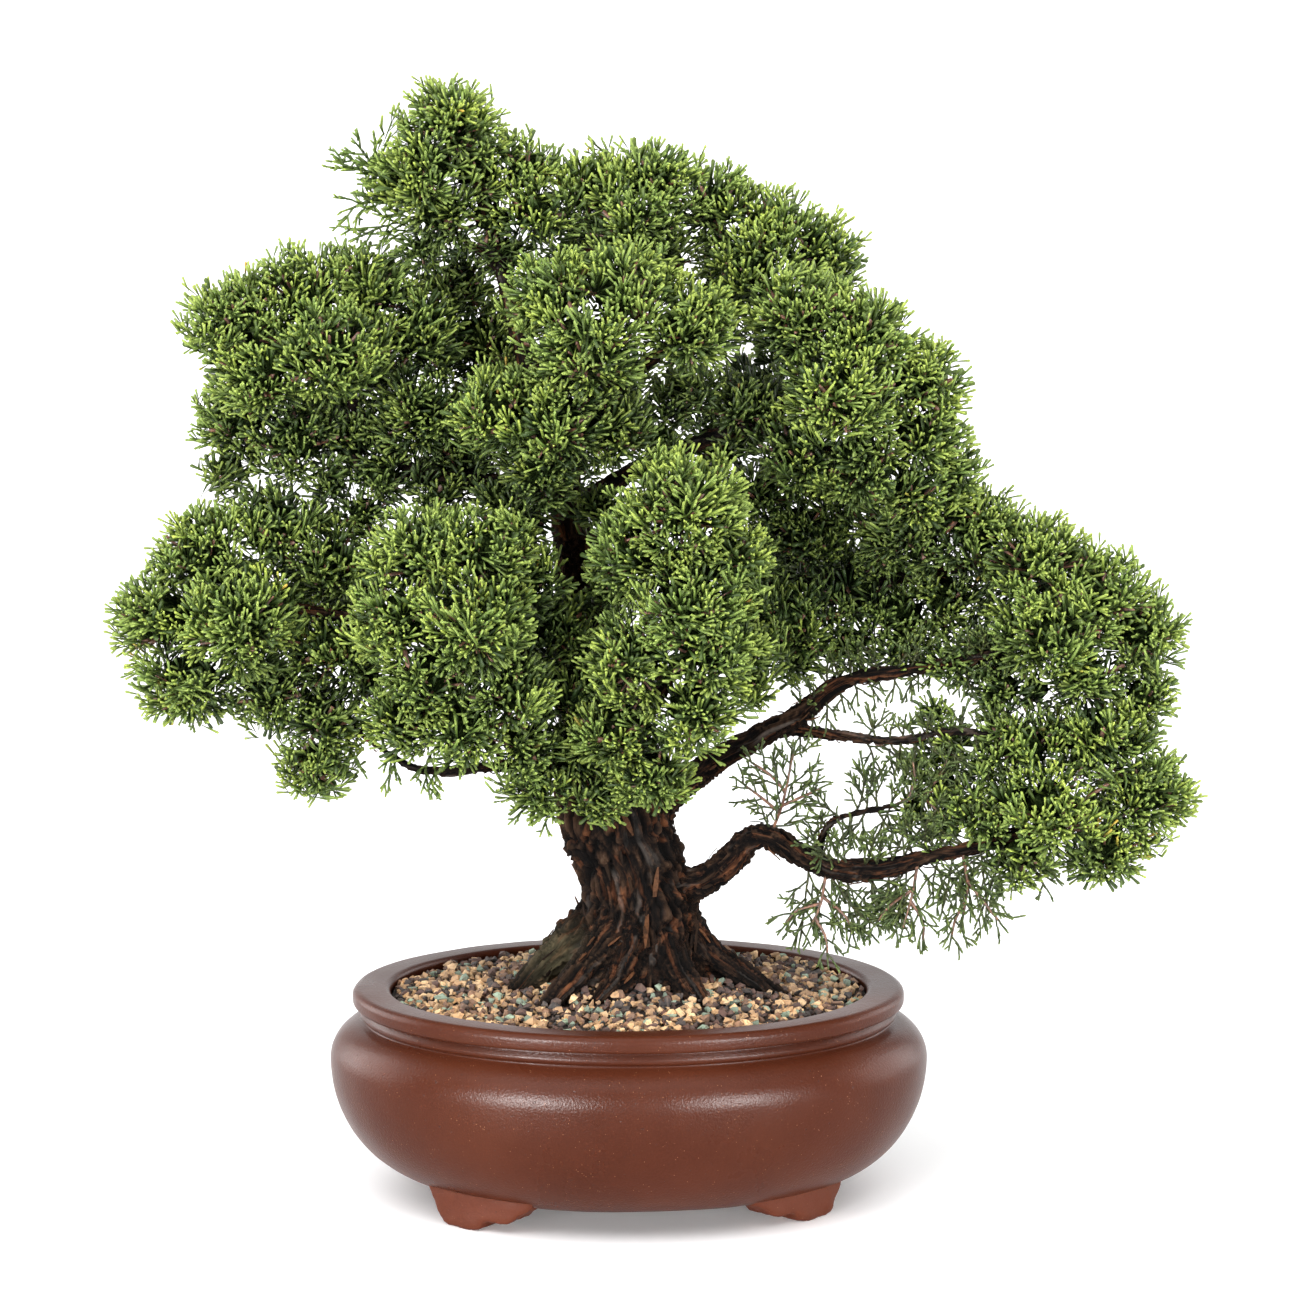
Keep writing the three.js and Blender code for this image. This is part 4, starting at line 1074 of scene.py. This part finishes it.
def bark_relief(thing, wood, strength):
    """Raises ragged strips of bark along the wood and cuts deep furrows between them."""
    points = points_of(thing)
    index = np.array([wood.nearest(p) for p in points])
    tangents = wood.tangents[index]
    offset = points - wood.centres[index]
    forward = np.sum(offset * tangents, axis=1)
    across = offset - tangents * forward[:, None]
    along = wood.along[index] + forward
    size = np.clip(np.sqrt(wood.radii[index] / 26), 0.36, 1.0)
    sway = np.stack([noise_at(points, 13, seed) for seed in (3.0, 41.0, 59.0)], axis=1)
    grain = across / (size * 4.4)[:, None] + np.outer(along / 24, (0.36, 0.48, 0.80)) + sway * 0.7
    strips = noise_at(grain, 1.0)
    plates = noise_at(grain * 1.7 + (0, 0, 5), 1.0, 9.0)
    fine = noise_at(grain * 4.2, 1.0, 17.0)
    furrow = np.exp(-(strips / 0.15) ** 2)
    steps = np.tanh(plates * 6) * 0.5 + np.tanh((plates - 0.28) * 14) * 0.3
    swell = noise_at(grain * 0.30, 1.0, 23.0)
    height = -2.9 * furrow + 1.6 * np.abs(strips) + 1.5 * steps + 0.7 * fine + 3.0 * swell
    set_points(thing, points + normals_of(thing) * (height * size * strength)[:, None])
    # How high the bark stands, from which the bark material paints shade into its furrows.
    give(thing, "raised", np.clip(0.60 - 0.62 * furrow + 0.30 * steps + 0.25 * fine, 0, 1))
    give(thing, "fibre", grain, "FLOAT_VECTOR", "vector")
    left_root = np.exp(-np.sum(((points - MOSS_MIDDLE) / MOSS_REACH) ** 2, axis=1))
    give(thing, "moss", np.clip(left_root * 1.1, 0, 0.8))


def splinter_faces():
    """The triangles of a splinter: four rings of four points, closed at both ends."""
    faces = [(0, 1, 2), (0, 2, 3), (12, 14, 13), (12, 15, 14)]
    for row in (0, 4, 8):
        for k in range(4):
            a = row + k
            b = row + (k + 1) % 4
            faces += [(a, b + 4, b), (a, a + 4, b + 4)]
    return np.array(faces)


def add_flakes(wood, material):
    """Thin splinters of bark that lift off the wood at one end, on its contours as well."""
    height = wood.centres[:, 2]
    pool = np.flatnonzero((wood.radii > 2.2) & (height > FLAKES_FROM) & (height < FLAKES_TO))
    weight = np.sqrt(wood.radii[pool])
    faces = splinter_faces()
    parts = PieceParts("tone")
    for i in rng.choice(pool, FLAKE_COUNT, p=weight / weight.sum()):
        tangent, radius = wood.tangents[i], wood.radii[i]
        ahead = unit(tangent * rng.choice([-1, 1]) + rng.normal(scale=0.16, size=3))
        out = rng.normal(size=3)
        out = unit(out - tangent * (out @ tangent))
        side = np.cross(ahead, out)
        size = min(1.0, math.sqrt(radius / 20))
        length = rng.uniform(6, 17) * size
        width = rng.uniform(1.2, 3.2) * size
        thick = rng.uniform(0.35, 0.7) * out
        start = wood.centres[i] + out * radius * 0.97
        lift = rng.uniform(0.6, 2.6) * size
        ring = []
        sections = ((0, 0.7, -0.6), (0.35, 1, 0.5), (0.7, 0.8, 0.5 + lift * 0.4), (1, 0.25, 0.4 + lift))
        for share, wide, up in sections:
            middle = start + ahead * length * share + out * up
            half = side * width * wide / 2
            ring += [middle - half, middle + half, middle + half * 0.8 + thick, middle - half * 0.8 + thick]
        parts.add(np.array(ring), faces, 0, rng.random())
    finish_piece(parts.piece("bark_flakes", smooth=False), "bark", ["trunk"], material)


def make_wood():
    """The trunk with its roots and bare limbs, then the limbs inside the foliage."""
    low_lines = [smooth_line(line, 2.5) for line in [TRUNK_LINE[:BASE_END], *ROOTS]]
    low_lines += [smooth_line(limb, 2.2) for limb in BARE_LIMBS.values()]
    high_lines = [smooth_line(line, 3) for line in [TRUNK_LINE[UPPER_START:], *HIDDEN_LIMBS.values()]]
    wood = Wood(low_lines + high_lines)
    flutes = [0.06] * (1 + len(ROOTS)) + [0.05] * len(BARE_LIMBS)
    base = remeshed(joined_tubes("trunk_base", low_lines, 28, flutes), BASE_VOXEL, 5)
    bark_relief(base, wood, 1.0)
    finish_piece(base, "bark", ["trunk"], bark_material("fibrous_bark"))
    limbs = remeshed(joined_tubes("trunk_limbs", high_lines, 14, [0.03] * len(high_lines)), LIMB_VOXEL, 1)
    bark_relief(limbs, wood, 0.8)
    finish_piece(limbs, "bark", ["trunk"], bark_material("limb_bark"))
    add_flakes(wood, splinter_material())
    return wood


# The foliage

def turned_ring(ahead, turn):
    """Three directions square to each cord, a third of a turn apart."""
    helper = np.where(np.abs(ahead[:, 2:3]) < 0.8, [[0, 0, 1.0]], [[1.0, 0, 0]])
    side = unit(np.cross(ahead, helper))
    across = np.cross(ahead, side)
    for k in range(3):
        angle = turn + k * 2 * math.pi / 3
        yield side * np.cos(angle)[:, None] + across * np.sin(angle)[:, None]


class CordForm:
    """One closed three-sided form of cord: how far out each of its points is, and its triangles."""

    def __init__(self, reach, faces):
        self.reach = np.array(reach)
        self.faces = np.array(faces)

    def mesh(self, base, rings, tip, turn):
        """Cords with a ring at each given centre and radius: all points, and all triangles."""
        outs = list(turned_ring(unit(tip - base), turn))
        levels = []
        for centre, radius in rings:
            levels.append(np.stack([centre + out * radius[:, None] for out in outs], axis=1))
        starts_at_a_point = self.reach[1] > 0
        if starts_at_a_point:
            levels.insert(0, base[:, None])
        points = np.concatenate([*levels, tip[:, None]], axis=1).reshape(-1, 3)
        starts = np.arange(len(base)) * len(self.reach)
        return points, (self.faces[None] + starts[:, None, None]).reshape(-1, 3)


CORD = CordForm([0, 0.5, 0.5, 0.5, 0.92, 0.92, 0.92, 1.0], [
    (0, 2, 1), (0, 3, 2), (0, 1, 3), (1, 2, 5), (1, 5, 4), (2, 3, 6), (2, 6, 5), (3, 1, 4), (3, 4, 6),
    (4, 5, 7), (5, 6, 7), (6, 4, 7),
])
CLUB = CordForm([0, 0.9, 0.9, 0.9, 1.0], [(0, 2, 1), (0, 3, 2), (0, 1, 3), (1, 2, 4), (2, 3, 4), (3, 1, 4)])
ROD = CordForm([0, 0, 0, 0.9, 0.9, 0.9, 1.0], [
    (0, 2, 1), (0, 1, 4), (0, 4, 3), (1, 2, 5), (1, 5, 4), (2, 0, 3), (2, 3, 5), (3, 4, 6), (4, 5, 6),
    (5, 3, 6),
])


def cord_shoulder(before, tip, radius):
    """Where a cord's blunt tip begins."""
    return tip - unit(tip - before) * (radius * BLUNT)[:, None]


def cord_mesh(base, middle, tip, radius, turn):
    """Cords that bend in the middle."""
    shoulder = cord_shoulder(middle, tip, radius)
    return CORD.mesh(base, [(middle, radius), (shoulder, radius * 0.92)], tip, turn)


def club_mesh(base, tip, radius, turn):
    """Short straight cords that widen to a blunt tip."""
    return CLUB.mesh(base, [(cord_shoulder(base, tip, radius), radius)], tip, turn)


def rod_mesh(base, tip, radius, turn):
    """Straight rods of even thickness with a flat base and a blunt tip."""
    return ROD.mesh(base, [(base, radius), (cord_shoulder(base, tip, radius), radius * 0.85)], tip, turn)


def lean(turn, angle):
    return np.array([math.cos(turn) * math.sin(angle), math.sin(turn) * math.sin(angle), math.cos(angle)])


def sprig_kind():
    """One forked sprig that grows along +Z: its bent cords, its straight ones, and its length.

    Each cord is a base, middle, tip and radius, and where it lies in the colour range."""
    bent, straight = [], []
    length = rng.uniform(13, 19)
    top = np.array([*rng.uniform(-3.5, 3.5, 2), length])
    straight.append((top * 0, top * 0, top * 1.05, 0.60, 0.0, 0.40))
    turn = rng.uniform(0, 6)
    sides = 6
    for i in range(sides):
        share = 0.16 + 0.78 * i / (sides - 1) + rng.uniform(-0.05, 0.05)
        turn += 2.4 + rng.uniform(-0.6, 0.6)
        angle = math.radians(rng.uniform(32, 62)) * (1.15 - 0.4 * share)
        reach = rng.uniform(9.5, 15.0) * (1.12 - 0.36 * share)
        start = top * share
        middle = start + lean(turn, angle) * reach * 0.5
        tip = middle + lean(turn + rng.uniform(-0.5, 0.5), angle * rng.uniform(0.0, 0.9)) * reach * 0.55
        cords = straight if i % 2 else bent
        cords.append((start, middle, tip, rng.uniform(0.74, 0.88), 0.22 + 0.1 * share, 1.0))
        if rng.random() < 0.7:
            fork = start + (middle - start) * rng.uniform(0.7, 1.0)
            swing = turn + rng.choice([-1, 1]) * rng.uniform(0.8, 1.9)
            ahead = lean(swing, math.radians(rng.uniform(28, 62)))
            end = fork + ahead * rng.uniform(5.0, 8.2) + (0, 0, 0.6)
            straight.append((fork, fork, end, rng.uniform(0.72, 0.84), 0.42, 1.0))
    fork = top * 0.96
    for side in (-1, 1):
        ahead = lean(turn + side * 1.5, math.radians(rng.uniform(10, 34)))
        straight.append((fork, fork, fork + ahead * rng.uniform(6.0, 9.5) + (0, 0, 0.6), 0.84, 0.35, 1.0))
    return columns(bent), columns(straight), length + 7.0


def tuft_kind():
    """One plain tuft of thick cords, for the shade inside a pad."""
    straight = []
    turn = rng.uniform(0, 6)
    start = np.zeros(3)
    for _ in range(7):
        turn += 2.4 + rng.uniform(-0.4, 0.4)
        tip = lean(turn, math.radians(rng.uniform(15, 80))) * rng.uniform(10, 15)
        straight.append((start, start, tip, rng.uniform(1.1, 1.4), 0.15, 0.8))
    return None, columns(straight), 10.0


def columns(cords):
    return [np.array(column, float) for column in zip(*cords)]


def turned_to(directions, spin):
    """Matrices that turn +Z to each direction, spun round it."""
    helper = np.where(np.abs(directions[:, 2:3]) < 0.9, [[0, 0, 1.0]], [[1.0, 0, 0]])
    side = unit(np.cross(helper, directions))
    across = np.cross(directions, side)
    c, s = np.cos(spin)[:, None], np.sin(spin)[:, None]
    return np.stack([side * c + across * s, across * c - side * s, directions], axis=-1)


PAD_LOBES = {name: lobes + FILLERS.get(name, []) for name, lobes in PADS.items()}
ALL_LOBES = np.array([(*lobe[:3], *(lobe[3] * LOBE_SHAPE)) for lobes in PAD_LOBES.values() for lobe in lobes])
LOBE_PAD = np.array([i for i, lobes in enumerate(PAD_LOBES.values()) for _ in lobes])


def lobe_depth(places, lobes):
    """Distance of each place from each lobe's middle, as a share of the way out to its tips."""
    offset = (places[:, None, :] - lobes[None, :, :3]) / lobes[None, :, 3:]
    return np.linalg.norm(offset, axis=2)


def openness(places, outward):
    """Share of the directions round a place from which light reaches it past every lobe."""
    start = places + outward * 3.0
    clear = np.zeros(len(places))
    total = 0.0
    middles = ALL_LOBES[:, :3]
    halves = ALL_LOBES[:, 3:] * 0.88
    for ray in even_directions(40):
        offset = (start[:, None, :] - middles[None]) / halves[None]
        way = ray / halves
        b = np.einsum("nlk,lk->nl", offset, way)
        a = np.sum(way * way, axis=1)[None]
        c = np.sum(offset * offset, axis=2) - 1
        hit = (b * b - a * c > 0) & ((-b + np.sqrt(np.maximum(b * b - a * c, 0))) > 0) & (c > 0) | (c <= 0)
        weight = 1.0 + max(0.0, ray[2]) * 0.8
        clear += weight * ~hit.any(axis=1)
        total += weight
    return clear / total


def lobe_area(axes):
    a, b, c = axes ** 1.6
    return 4 * math.pi * ((a * b + a * c + b * c) / 3) ** (1 / 1.6)


def placed_tips():
    """Where the tips of the sprigs end, the lobe of each, and whether it is an inner tuft."""
    places, owner, inner = [], [], []
    for index, lobe in enumerate(ALL_LOBES):
        outer = int(lobe_area(lobe[3:]) / (BACK_AREA if lobe[1] > BACK_FROM else SPRIG_AREA))
        deep = int(outer * INNER_SHARE)
        count = outer + deep
        around = np.vstack([even_directions(part, rng.uniform(0, 6)) for part in (outer, deep)])
        around = unit(around + rng.normal(scale=0.12, size=around.shape))
        is_inner = np.arange(count) >= outer
        reach = np.where(is_inner, rng.uniform(0.62, 0.82, count), rng.uniform(0.88, 1.07, count))
        places.append(lobe[:3] + around * (lobe[3:] + TIP_REACH) * reach[:, None])
        owner.append(np.full(count, index))
        inner.append(is_inner)
    return [np.concatenate(rows) for rows in (places, owner, inner)]


def sprig_places():
    """Where every sprig's tips end, the way it grows, its lobe, how open its place is, and if it is inner."""
    places, owner, inner = placed_tips()
    depth = lobe_depth(places, ALL_LOBES)
    own = np.arange(len(places)), owner
    others = depth.copy()
    others[own] = 9
    nearest = others.min(axis=1)
    hearts = ALL_LOBES[:, :3] - ALL_LOBES[:, 3:] * (0, 0, HEART_DROP)
    pull = np.exp(-BLEND * (np.maximum(depth, 0.7) - 0.7))
    pull[own] = np.maximum(pull[own], 0.35)
    from_hearts = places[:, None, :] - hearts[None]
    from_hearts /= np.linalg.norm(from_hearts, axis=2, keepdims=True)
    ways = unit(np.einsum("nl,nlk->nk", pull, from_hearts))
    seam = np.clip(1.25 - nearest, 0, 0.3)
    places = places + ways * (seam * SEAM_LIFT)[:, None]
    ways = unit(ways + rng.normal(scale=WAY_JITTER, size=ways.shape))
    keep = (nearest > 0.94) | ((nearest > 0.76) & (rng.random(len(places)) < 0.55))
    places, ways, owner, inner = (rows[keep] for rows in (places, ways, owner, inner))
    light = openness(places + ways * np.where(inner, 5.0, 0.0)[:, None], ways)
    seen = light > np.where(inner, INNER_DARK, OUTER_DARK)
    # Painted shade: inner tufts keep a third of their light, and sprigs that face down keep less than those
    # that face up; the leaf material darkens by this.
    light = np.where(inner, light * 0.35, light) * np.clip(0.84 + 0.4 * ways[:, 2], 0.45, 1.15)
    return tuple(rows[seen] for rows in (places, ways, owner, light, inner))


def lobe_core(lobe):
    """A crumpled heart of twigs and leaves inside a lobe; its near-black colour is painted shade."""
    ball = bmesh.new()
    bmesh.ops.create_icosphere(ball, subdivisions=3, radius=1)
    ball.verts.index_update()
    points = np.array([v.co for v in ball.verts])
    faces = np.array([[v.index for v in face.verts] for face in ball.faces])
    ball.free()
    swell = rng.uniform(0.66, 1.26, len(points))
    return points * swell[:, None] * lobe[3:] * CORE_SHARE + lobe[:3] - (0, 0, lobe[5] * 0.06), faces


def add_sprigs(parts, kind, root, turns, size, tones, lights):
    """Adds one kind of sprig at each root, turned and sized."""
    bent, straight, _ = kind
    for cords, form in ((bent, CORD), (straight, CLUB)):
        if cords is None:
            continue
        base, middle, tip = (
            (np.einsum("nij,kj->nki", turns, column) * size[:, None, None] + root[:, None, :]).reshape(-1, 3)
            for column in cords[:3])
        each = len(cords[3])
        radius, low, high = (np.tile(column, len(root)) for column in cords[3:])
        turn = rng.uniform(0, 6, len(radius))
        if form is CORD:
            mesh = cord_mesh(base, middle, tip, radius, turn)
        else:
            mesh = club_mesh(base, tip, radius, turn)
        cord_tone = np.repeat(tones, each) * 0.75 + rng.random(len(radius)) * 0.25
        reach = low[:, None] + (high - low)[:, None] * form.reach
        points_each = len(form.reach)
        parts.add(*mesh, 0, reach.ravel(), np.repeat(cord_tone, points_each),
                  np.repeat(lights, each * points_each))


def make_foliage(leaf, twig, core):
    kinds = [sprig_kind() for _ in range(SPRIG_KINDS)] + [tuft_kind() for _ in range(TUFT_KINDS)]
    places, ways, owner, light, inner = sprig_places()
    kind_of = rng.integers(0, SPRIG_KINDS, len(places))
    kind_of = np.where(inner, SPRIG_KINDS + kind_of % TUFT_KINDS, kind_of)
    spin = rng.uniform(0, 2 * math.pi, len(places))
    size = rng.uniform(0.94, 1.22, len(places))
    tone_of = rng.random(len(places))
    turns = turned_to(ways, spin)
    for pad, name in enumerate(PADS):
        parts = PieceParts("reach", "tone", "open")
        mine = np.flatnonzero(LOBE_PAD[owner] == pad)
        for number, kind in enumerate(kinds):
            some = mine[kind_of[mine] == number]
            if len(some):
                root = places[some] - ways[some] * (size[some] * kind[2])[:, None]
                add_sprigs(parts, kind, root, turns[some], size[some], tone_of[some], light[some])
        add_twigs(parts, places[mine], ways[mine], owner[mine])
        for stem in PAD_WISPS.get(name, []):
            add_lace(parts, smooth_line(stem, 1.0), PAD_WISP_RADIUS)
        for lobe in ALL_LOBES[LOBE_PAD == pad]:
            parts.add(*lobe_core(lobe), 2, 0, 0, 0)
        finish_piece(parts.piece(f"leaves_{name}"), "foliage", [f"foliage_{name}"], leaf, twig, core)


def add_twigs(parts, places, ways, owner):
    """Reddish twigs from the heart of each lobe out to some of its sprigs."""
    some = rng.random(len(places)) < TWIG_SHARE
    lobes = ALL_LOBES[owner[some]]
    start = lobes[:, :3] - lobes[:, 3:] * (0, 0, 0.35)
    end = places[some] - ways[some] * 10.0 + rng.normal(scale=1.5, size=start.shape)
    mesh = rod_mesh(start, end, rng.uniform(0.6, 1.5, len(start)), rng.uniform(0, 6, len(start)))
    parts.add(*mesh, 1, 0, 0, 0)


def make_sprays(leaf, twig):
    """Open, lacy branchlets: the loose sprays, and the wisps on the bare limbs."""
    wisps = limb_wisps()
    for index, (name, stems) in enumerate(SPRAYS.items()):
        parts = PieceParts("reach", "tone", "open")
        for stem in stems:
            line_points = smooth_line(stem, 1.0)
            add_stem(parts, line_points)
            add_lace(parts, line_points, SPRAY_RADIUS)
        for line_points in wisps[index::len(SPRAYS)]:
            add_lace(parts, line_points, SPRAY_RADIUS)
        finish_piece(parts.piece(f"lace_{name}"), "foliage", [name], leaf, twig)


def add_stem(parts, line_points):
    samples = np.column_stack([line_points, np.linspace(0.95, 0.5, len(line_points))])
    parts.add(*tube(samples[::3], 5), 1, 0.2, 0.5, 0.8)


def limb_wisps():
    """Short curved stems above and below the bare limbs on the right."""
    wisps = []
    for limb, low, high, step, up, down in WISP_RANGES:
        line_points = smooth_line(BARE_LIMBS[limb], 1.0)
        for x in np.arange(low, high, step):
            nearest = line_points[np.argmin(np.abs(line_points[:, 0] - x))]
            for side, lengths in ((1, up), (-1, down)):
                length = rng.uniform(*lengths)
                if length < 4:
                    continue
                way = unit(np.array([rng.normal(scale=0.5), rng.normal(scale=0.35) - 0.35, side * 1.0]))
                bow = rng.normal(scale=0.22, size=3)
                shares = np.linspace(0, 1, int(length) + 3)[:, None]
                start = nearest[:3] + way * nearest[3] * 0.6
                wisps.append(start + (way * shares + bow * shares ** 2) * length)
    return wisps


def add_lace(parts, line_points, radius):
    """Twiglets on alternate sides of a stem, shorter towards its end, that fork again and again."""
    rods = []
    count = len(line_points)
    ahead = unit(np.gradient(line_points, axis=0))
    length = np.linalg.norm(line_points[-1] - line_points[0])
    for i in range(0, count - 1, 3):
        end = line_points[min(i + 3, count - 1)] + ahead[i] * 0.5
        rods.append((line_points[i], end, radius * 1.1, 0.0, 0.3))
    for number, i in enumerate(range(3, count, 4)):
        hand = -1 if number % 2 else 1
        flat = unit(np.cross(ahead[i], (0.1, 1.0, 0.15)))
        out = unit(flat * hand + rng.normal(scale=0.45, size=3))
        way = unit(ahead[i] + out * rng.uniform(0.6, 1.1))
        reach = (7 + 0.36 * length * (1 - 0.75 * i / count)) * rng.uniform(0.8, 1.2)
        grow_fork(rods, line_points[i], way, ahead[i], min(reach, 18.0), radius, 2)
    grow_fork(rods, line_points[-1], ahead[-1], ahead[-1], 7.0, radius, 1)
    base, tip, thick, low, high = columns(rods)
    mesh = rod_mesh(base, tip, thick, rng.uniform(0, 6, len(rods)))
    reach = low[:, None] + (high - low)[:, None] * ROD.reach
    parts.add(*mesh, 0, reach.ravel(), np.repeat(rng.random(len(rods)) * 0.9, len(ROD.reach)), 0.6)


def grow_fork(rods, start, way, ahead, length, radius, level):
    """Adds one twiglet, and for each level the one to three that fork from it."""
    bent = unit(way + ahead * 0.4)
    if length > 8:
        middle = start + way * length * 0.5
        tip = middle + bent * length * 0.5
        rods.append((start, middle, radius * 0.95, 0.2, 0.45))
        rods.append((middle - way * 0.3, tip, radius * 0.9, 0.45, 0.95))
    else:
        tip = start + unit(way + bent) * length
        rods.append((start, tip, radius * 0.9, 0.35, 0.95))
    if level == 0:
        return
    next_level = level - 1 if length > 8 else 0
    for share in rng.uniform(0.3, 0.85, 1 + (length > 7) + (length > 12)):
        root = start + (tip - start) * share
        swing = unit(bent + rng.normal(scale=0.6, size=3) * (1, 0.7, 1))
        grow_fork(rods, root, swing, bent, length * rng.uniform(0.4, 0.6), radius, next_level)


# The stage

def make_stage():
    mesh = bpy.data.meshes.new("floor")
    half = FLOOR_HALF
    mesh.from_pydata([(-half, -half, 0), (half, -half, 0), (half, half, 0), (-half, half, 0)], [],
                     [(0, 1, 2, 3)])
    mesh.materials.append(floor_material())
    floor = linked("floor", mesh)


def make_lights():
    """A white studio, bright above, behind and at the sides and dim in front, and the lamps in it."""
    world = bpy.data.worlds.new("studio")
    bpy.context.scene.world = world
    sky = Nodes(world)
    split = sky.add("ShaderNodeSeparateXYZ")
    sky.feed(split.inputs[0], sky.place("Generated"))
    behind = sky.ranged(split.outputs["Y"], -0.70, 0.15, 0.06, 0.85)
    above = sky.ranged(split.outputs["Z"], 0.15, 0.95)
    share = sky.add("ShaderNodeMath", operation="MAXIMUM")
    for socket, source in zip(share.inputs, (behind, above)):
        sky.feed(socket, source)
    bright = sky.ramp(
        share.outputs[0], (0.0, (0.09, 0.09, 0.095)), (0.5, (0.55, 0.55, 0.56)), (1.0, (1.2, 1.2, 1.2)),
    )
    background = sky.tree.nodes["Background"]
    sky.feed(background.inputs["Color"], bright)
    sky.feed(background.inputs["Strength"], 0.95)
    for name, strength, width, height, aside, diffuse in LAMPS:
        lamp = bpy.data.lights.new(name, "SUN")
        lamp.energy = strength
        lamp.angle = math.radians(width)
        sun = linked(name, lamp)
        sun.rotation_euler = (math.radians(90 - height), 0, math.radians(aside))
        sun.visible_diffuse = diffuse
    bpy.context.scene.view_settings.view_transform = "Standard"


def make_camera():
    lens = bpy.data.cameras.new("camera")
    lens.sensor_width = SENSOR
    lens.lens = LENS
    lens.clip_end = 300
    camera = linked("camera", lens)
    back = np.array([0, -math.cos(PITCH), math.sin(PITCH)])
    camera.location = row_points(np.array(CAMERA_TARGET) + back * CAMERA_DISTANCE)
    camera.rotation_euler = (math.pi / 2 - PITCH, 0, 0)
    bpy.context.scene.camera = camera


make_camera()
make_lights()
make_stage()
clay = clay_material("fired_clay", 0.0, 1.0)
make_pot(clay)
make_feet(clay_material("foot_clay", 0.30, 1.7))
wood = make_wood()
make_soil(soil_material())
make_gravel(wood)
twig = twig_material()
make_foliage(
    leaf_material("scale_leaves", (0.026, 0.042, 0.011), (0.138, 0.215, 0.040), (0.39, 0.51, 0.11),
                  (0.018, 0.040, 0.014)),
    twig, core_material(),
)
# The sprays' leaves are a darker, greyer copy of the leaf colours: partly their own greyer green, partly
# painted shade from the crown above.
make_sprays(
    leaf_material("shade_leaves", (0.050, 0.048, 0.024), (0.085, 0.125, 0.040), (0.17, 0.24, 0.065),
                  (0.070, 0.088, 0.046)),
    twig,
)
for screen in ("drain_screen_left", "drain_screen_right"):
    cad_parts[screen].data.materials.clear()
    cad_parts[screen].data.materials.append(screen_material())
